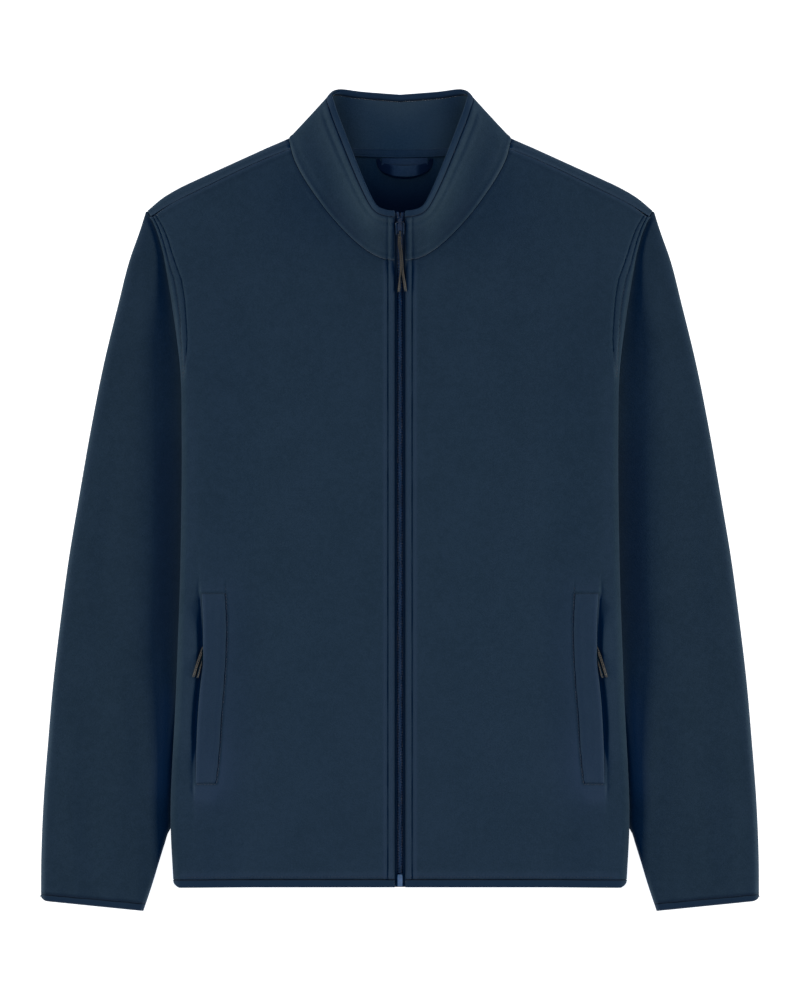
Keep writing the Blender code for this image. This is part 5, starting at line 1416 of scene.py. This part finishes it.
def makeNeck():
    x, up, h = bandAcross(neck["tapeHalf"], 0.0, 121, neck["tapeLow"], neck["tapeHigh"], 22, neck["tapeH"])
    across = (up - up[0]) / (up[-1] - up[0])
    edges = 0.5 * dip(across, 0.14) + 0.6 * np.clip((across - 0.86) / 0.14, 0, 1) ** 2
    stitched = 0.3 * bell(across - 0.2, 0.06) + 0.3 * bell(across - 0.8, 0.06)
    z = neck["tapeTop"] - (edges + stitched)[:, None] + 0.12 * np.sin(x / 5.0)[None]
    # a painted highlight across the tape's middle, and painted shade along its borders
    marks = (0.35 * bell(x / 34.0, 1.0)[None] - 0.15 * ramp(across, 0.2)[:, None]
             - 0.1 * np.clip((across - 0.85) / 0.15, 0, 1)[:, None])
    obj = shell("neckTapeCloth", inPlan(x, h, z), neck["wall"], finish["neckTape"], marks=marks)
    ridesOn(obj, "jacket", "binding", "neck_tape")
    # the loop: sewn down along its upper run, then a U that stands on edge at its sides
    # and lies flat at the bottom, where it catches the light
    turn = np.linspace(0, np.pi, 90)[None]
    t = np.linspace(0, 1, 12)[:, None]
    flat = np.sin(turn) ** 1.6
    half = neck["loopHalf"] - (neck["loopSide"] + 3.0 * flat) * t
    px = neck["loopAt"] - half * np.cos(turn)
    ph = neck["loopH"] - (neck["loopDrop"] - neck["loopBand"] * t) * np.sin(turn) ** 0.7
    pz = (neck["loopZ"] + neck["loopLift"] * np.sin(turn) ** 2 * (1 - 0.25 * t)
          - 2.2 * (1 - flat) * (1 - t) - 0.25 * (2 * t - 1) ** 4)
    fromMiddle = np.abs(px - neck["loopAt"])
    # a painted highlight on its flat middle, and painted shade on its sides
    marks = 0.5 * bell(fromMiddle, 8.0) - 1.0 * smooth((fromMiddle - 9.0) / 6.0)
    obj = shell("hangerLoopCloth", inPlan(px, ph, pz), neck["wall"], finish["loop"], marks=marks)
    ridesOn(obj, "jacket", "binding", "hanger_loop")
    low, high = neck["runLow"], neck["runHigh"]
    x, up, h = bandAcross(neck["runHalf"], neck["loopAt"], 40, low, high, 12, neck["runH"])
    z = neck["runTop"] - 0.5 * dip(up - neck["runLow"], 1.4)[:, None] + 0.2 * np.cos(x / 9.0)[None]
    fromMiddle = np.abs(x - neck["loopAt"])
    # a painted highlight in its middle, and painted shade towards its ends
    marks = np.broadcast_to(0.45 * bell(fromMiddle, 9.0) - 0.35 * smooth((fromMiddle - 8.0) / 14.0), h.shape)
    obj = shell("hangerLoopRun", inPlan(x, h, z), neck["wall"], finish["loop"], marks=marks)
    ridesOn(obj, "jacket", "binding", "hanger_loop")
    print("neck made")


studio = dict(sensor=36.0, cameraHeight=8.0, pixel=0.9598, imageHeight=1000, centreX=0.0, centreY=-0.35,
              clothHeight=0.013, keyPower=92.0, keyColour=(0.97, 0.77, 0.52), keyAcross=2.6, keyTilt=19.2,
              keyDeep=0.62, keyWide=2.4, domeColour=(0.04, 0.24, 0.51), domeStrength=1.0,
              neckPower=140.0, neckColour=(1.0, 0.93, 0.80), neckFrom=(0.004, 0.95, 3.0),
              neckAt=(0.004, 0.332, 0.0), neckCone=1.75, neckSoft=0.04,
              floorHalf=30.0, floorZ=-0.0005, floorColour=(0.6, 0.6, 0.6, 1.0), floorGlow=1.0)


def inScene(name, data):
    obj = bpy.data.objects.new(name, data)
    scene.collection.objects.link(obj)
    return obj


def makeCamera():
    # straight above: the lens makes one pixel as wide as studio["pixel"] millimetres at the cloth's height
    data = bpy.data.cameras.new("camera")
    data.sensor_width = studio["sensor"]
    viewHeight = studio["pixel"] * mm * studio["imageHeight"]
    data.lens = studio["sensor"] * (studio["cameraHeight"] - studio["clothHeight"]) / viewHeight
    data.clip_end = 100.0
    camera = inScene("camera", data)
    camera.location = (studio["centreX"] * mm, studio["centreY"] * mm, studio["cameraHeight"])
    scene.camera = camera


def makeLights():
    for name, turn in (("leftBox", 0), ("rightBox", 180)):    # a low soft box at each side
        light = bpy.data.lights.new(name, "AREA")
        light.shape = "RECTANGLE"
        light.size, light.size_y = studio["keyDeep"], studio["keyWide"]
        light.energy = studio["keyPower"]
        light.color = studio["keyColour"]
        tilt = Matrix.Rotation(math.radians(90 - studio["keyTilt"]), 4, "Y")
        away = Matrix.Translation((0, 0, studio["keyAcross"]))
        inScene(name, light).matrix_world = Matrix.Rotation(math.radians(turn), 4, "Z") @ tilt @ away
    light = bpy.data.lights.new("neckSpot", "SPOT")    # a small soft spot into the neck opening
    light.energy = studio["neckPower"]
    light.color = studio["neckColour"]
    light.spot_size = math.radians(studio["neckCone"])
    light.spot_blend = 1.0
    light.shadow_soft_size = studio["neckSoft"]
    spot = inScene("neckSpot", light)
    spot.location = studio["neckFrom"]
    aim = Vector(studio["neckAt"]) - Vector(studio["neckFrom"])
    spot.rotation_euler = aim.to_track_quat("-Z", "Y").to_euler()
    world = bpy.data.worlds.new("studio")
    world.use_nodes = True
    setSockets(world.node_tree.nodes["Background"],
               {"Color": (*studio["domeColour"], 1.0), "Strength": studio["domeStrength"]})
    scene.world = world


def makeFloor():
    reach, z = studio["floorHalf"], studio["floorZ"]
    mesh = bpy.data.meshes.new("floor")
    mesh.from_pydata([(-reach, -reach, z), (reach, -reach, z), (reach, reach, z), (-reach, reach, z)], [],
                     [(0, 1, 2, 3)])
    material, _, shader = nodesOf("floor")
    setSockets(shader, {"Base Color": studio["floorColour"], "Roughness": 0.9,
                        "Emission Color": (1.0, 1.0, 1.0, 1.0), "Emission Strength": studio["floorGlow"]})
    mesh.materials.append(material)
    floor = inScene("floor", mesh)


def makeStudio():
    makeCamera()
    makeLights()
    makeFloor()
    scene.view_settings.view_transform = "Standard"
    print("studio made")


def finishHardPieces():
    # solids that stay as they are, with a finish of their own
    looks = {"zip_pull_tab": "metal", "zip_stop": "stop", "pocket_slider_left": "metal",
             "pocket_slider_right": "metal", "pocket_zip_left": "coil", "pocket_zip_right": "coil",
             "zip_lace_bight": "lace"}
    for name, look in looks.items():
        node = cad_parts[name]
        node.data.materials.clear()
        node.data.materials.append(finish[look])


makeStudio()
makeLaces()
makeFronts()
makeBack()
makeSleeves()
makeCollar()
makeHem()
makeWelts()
makeZip()
makeNeck()
finishHardPieces()
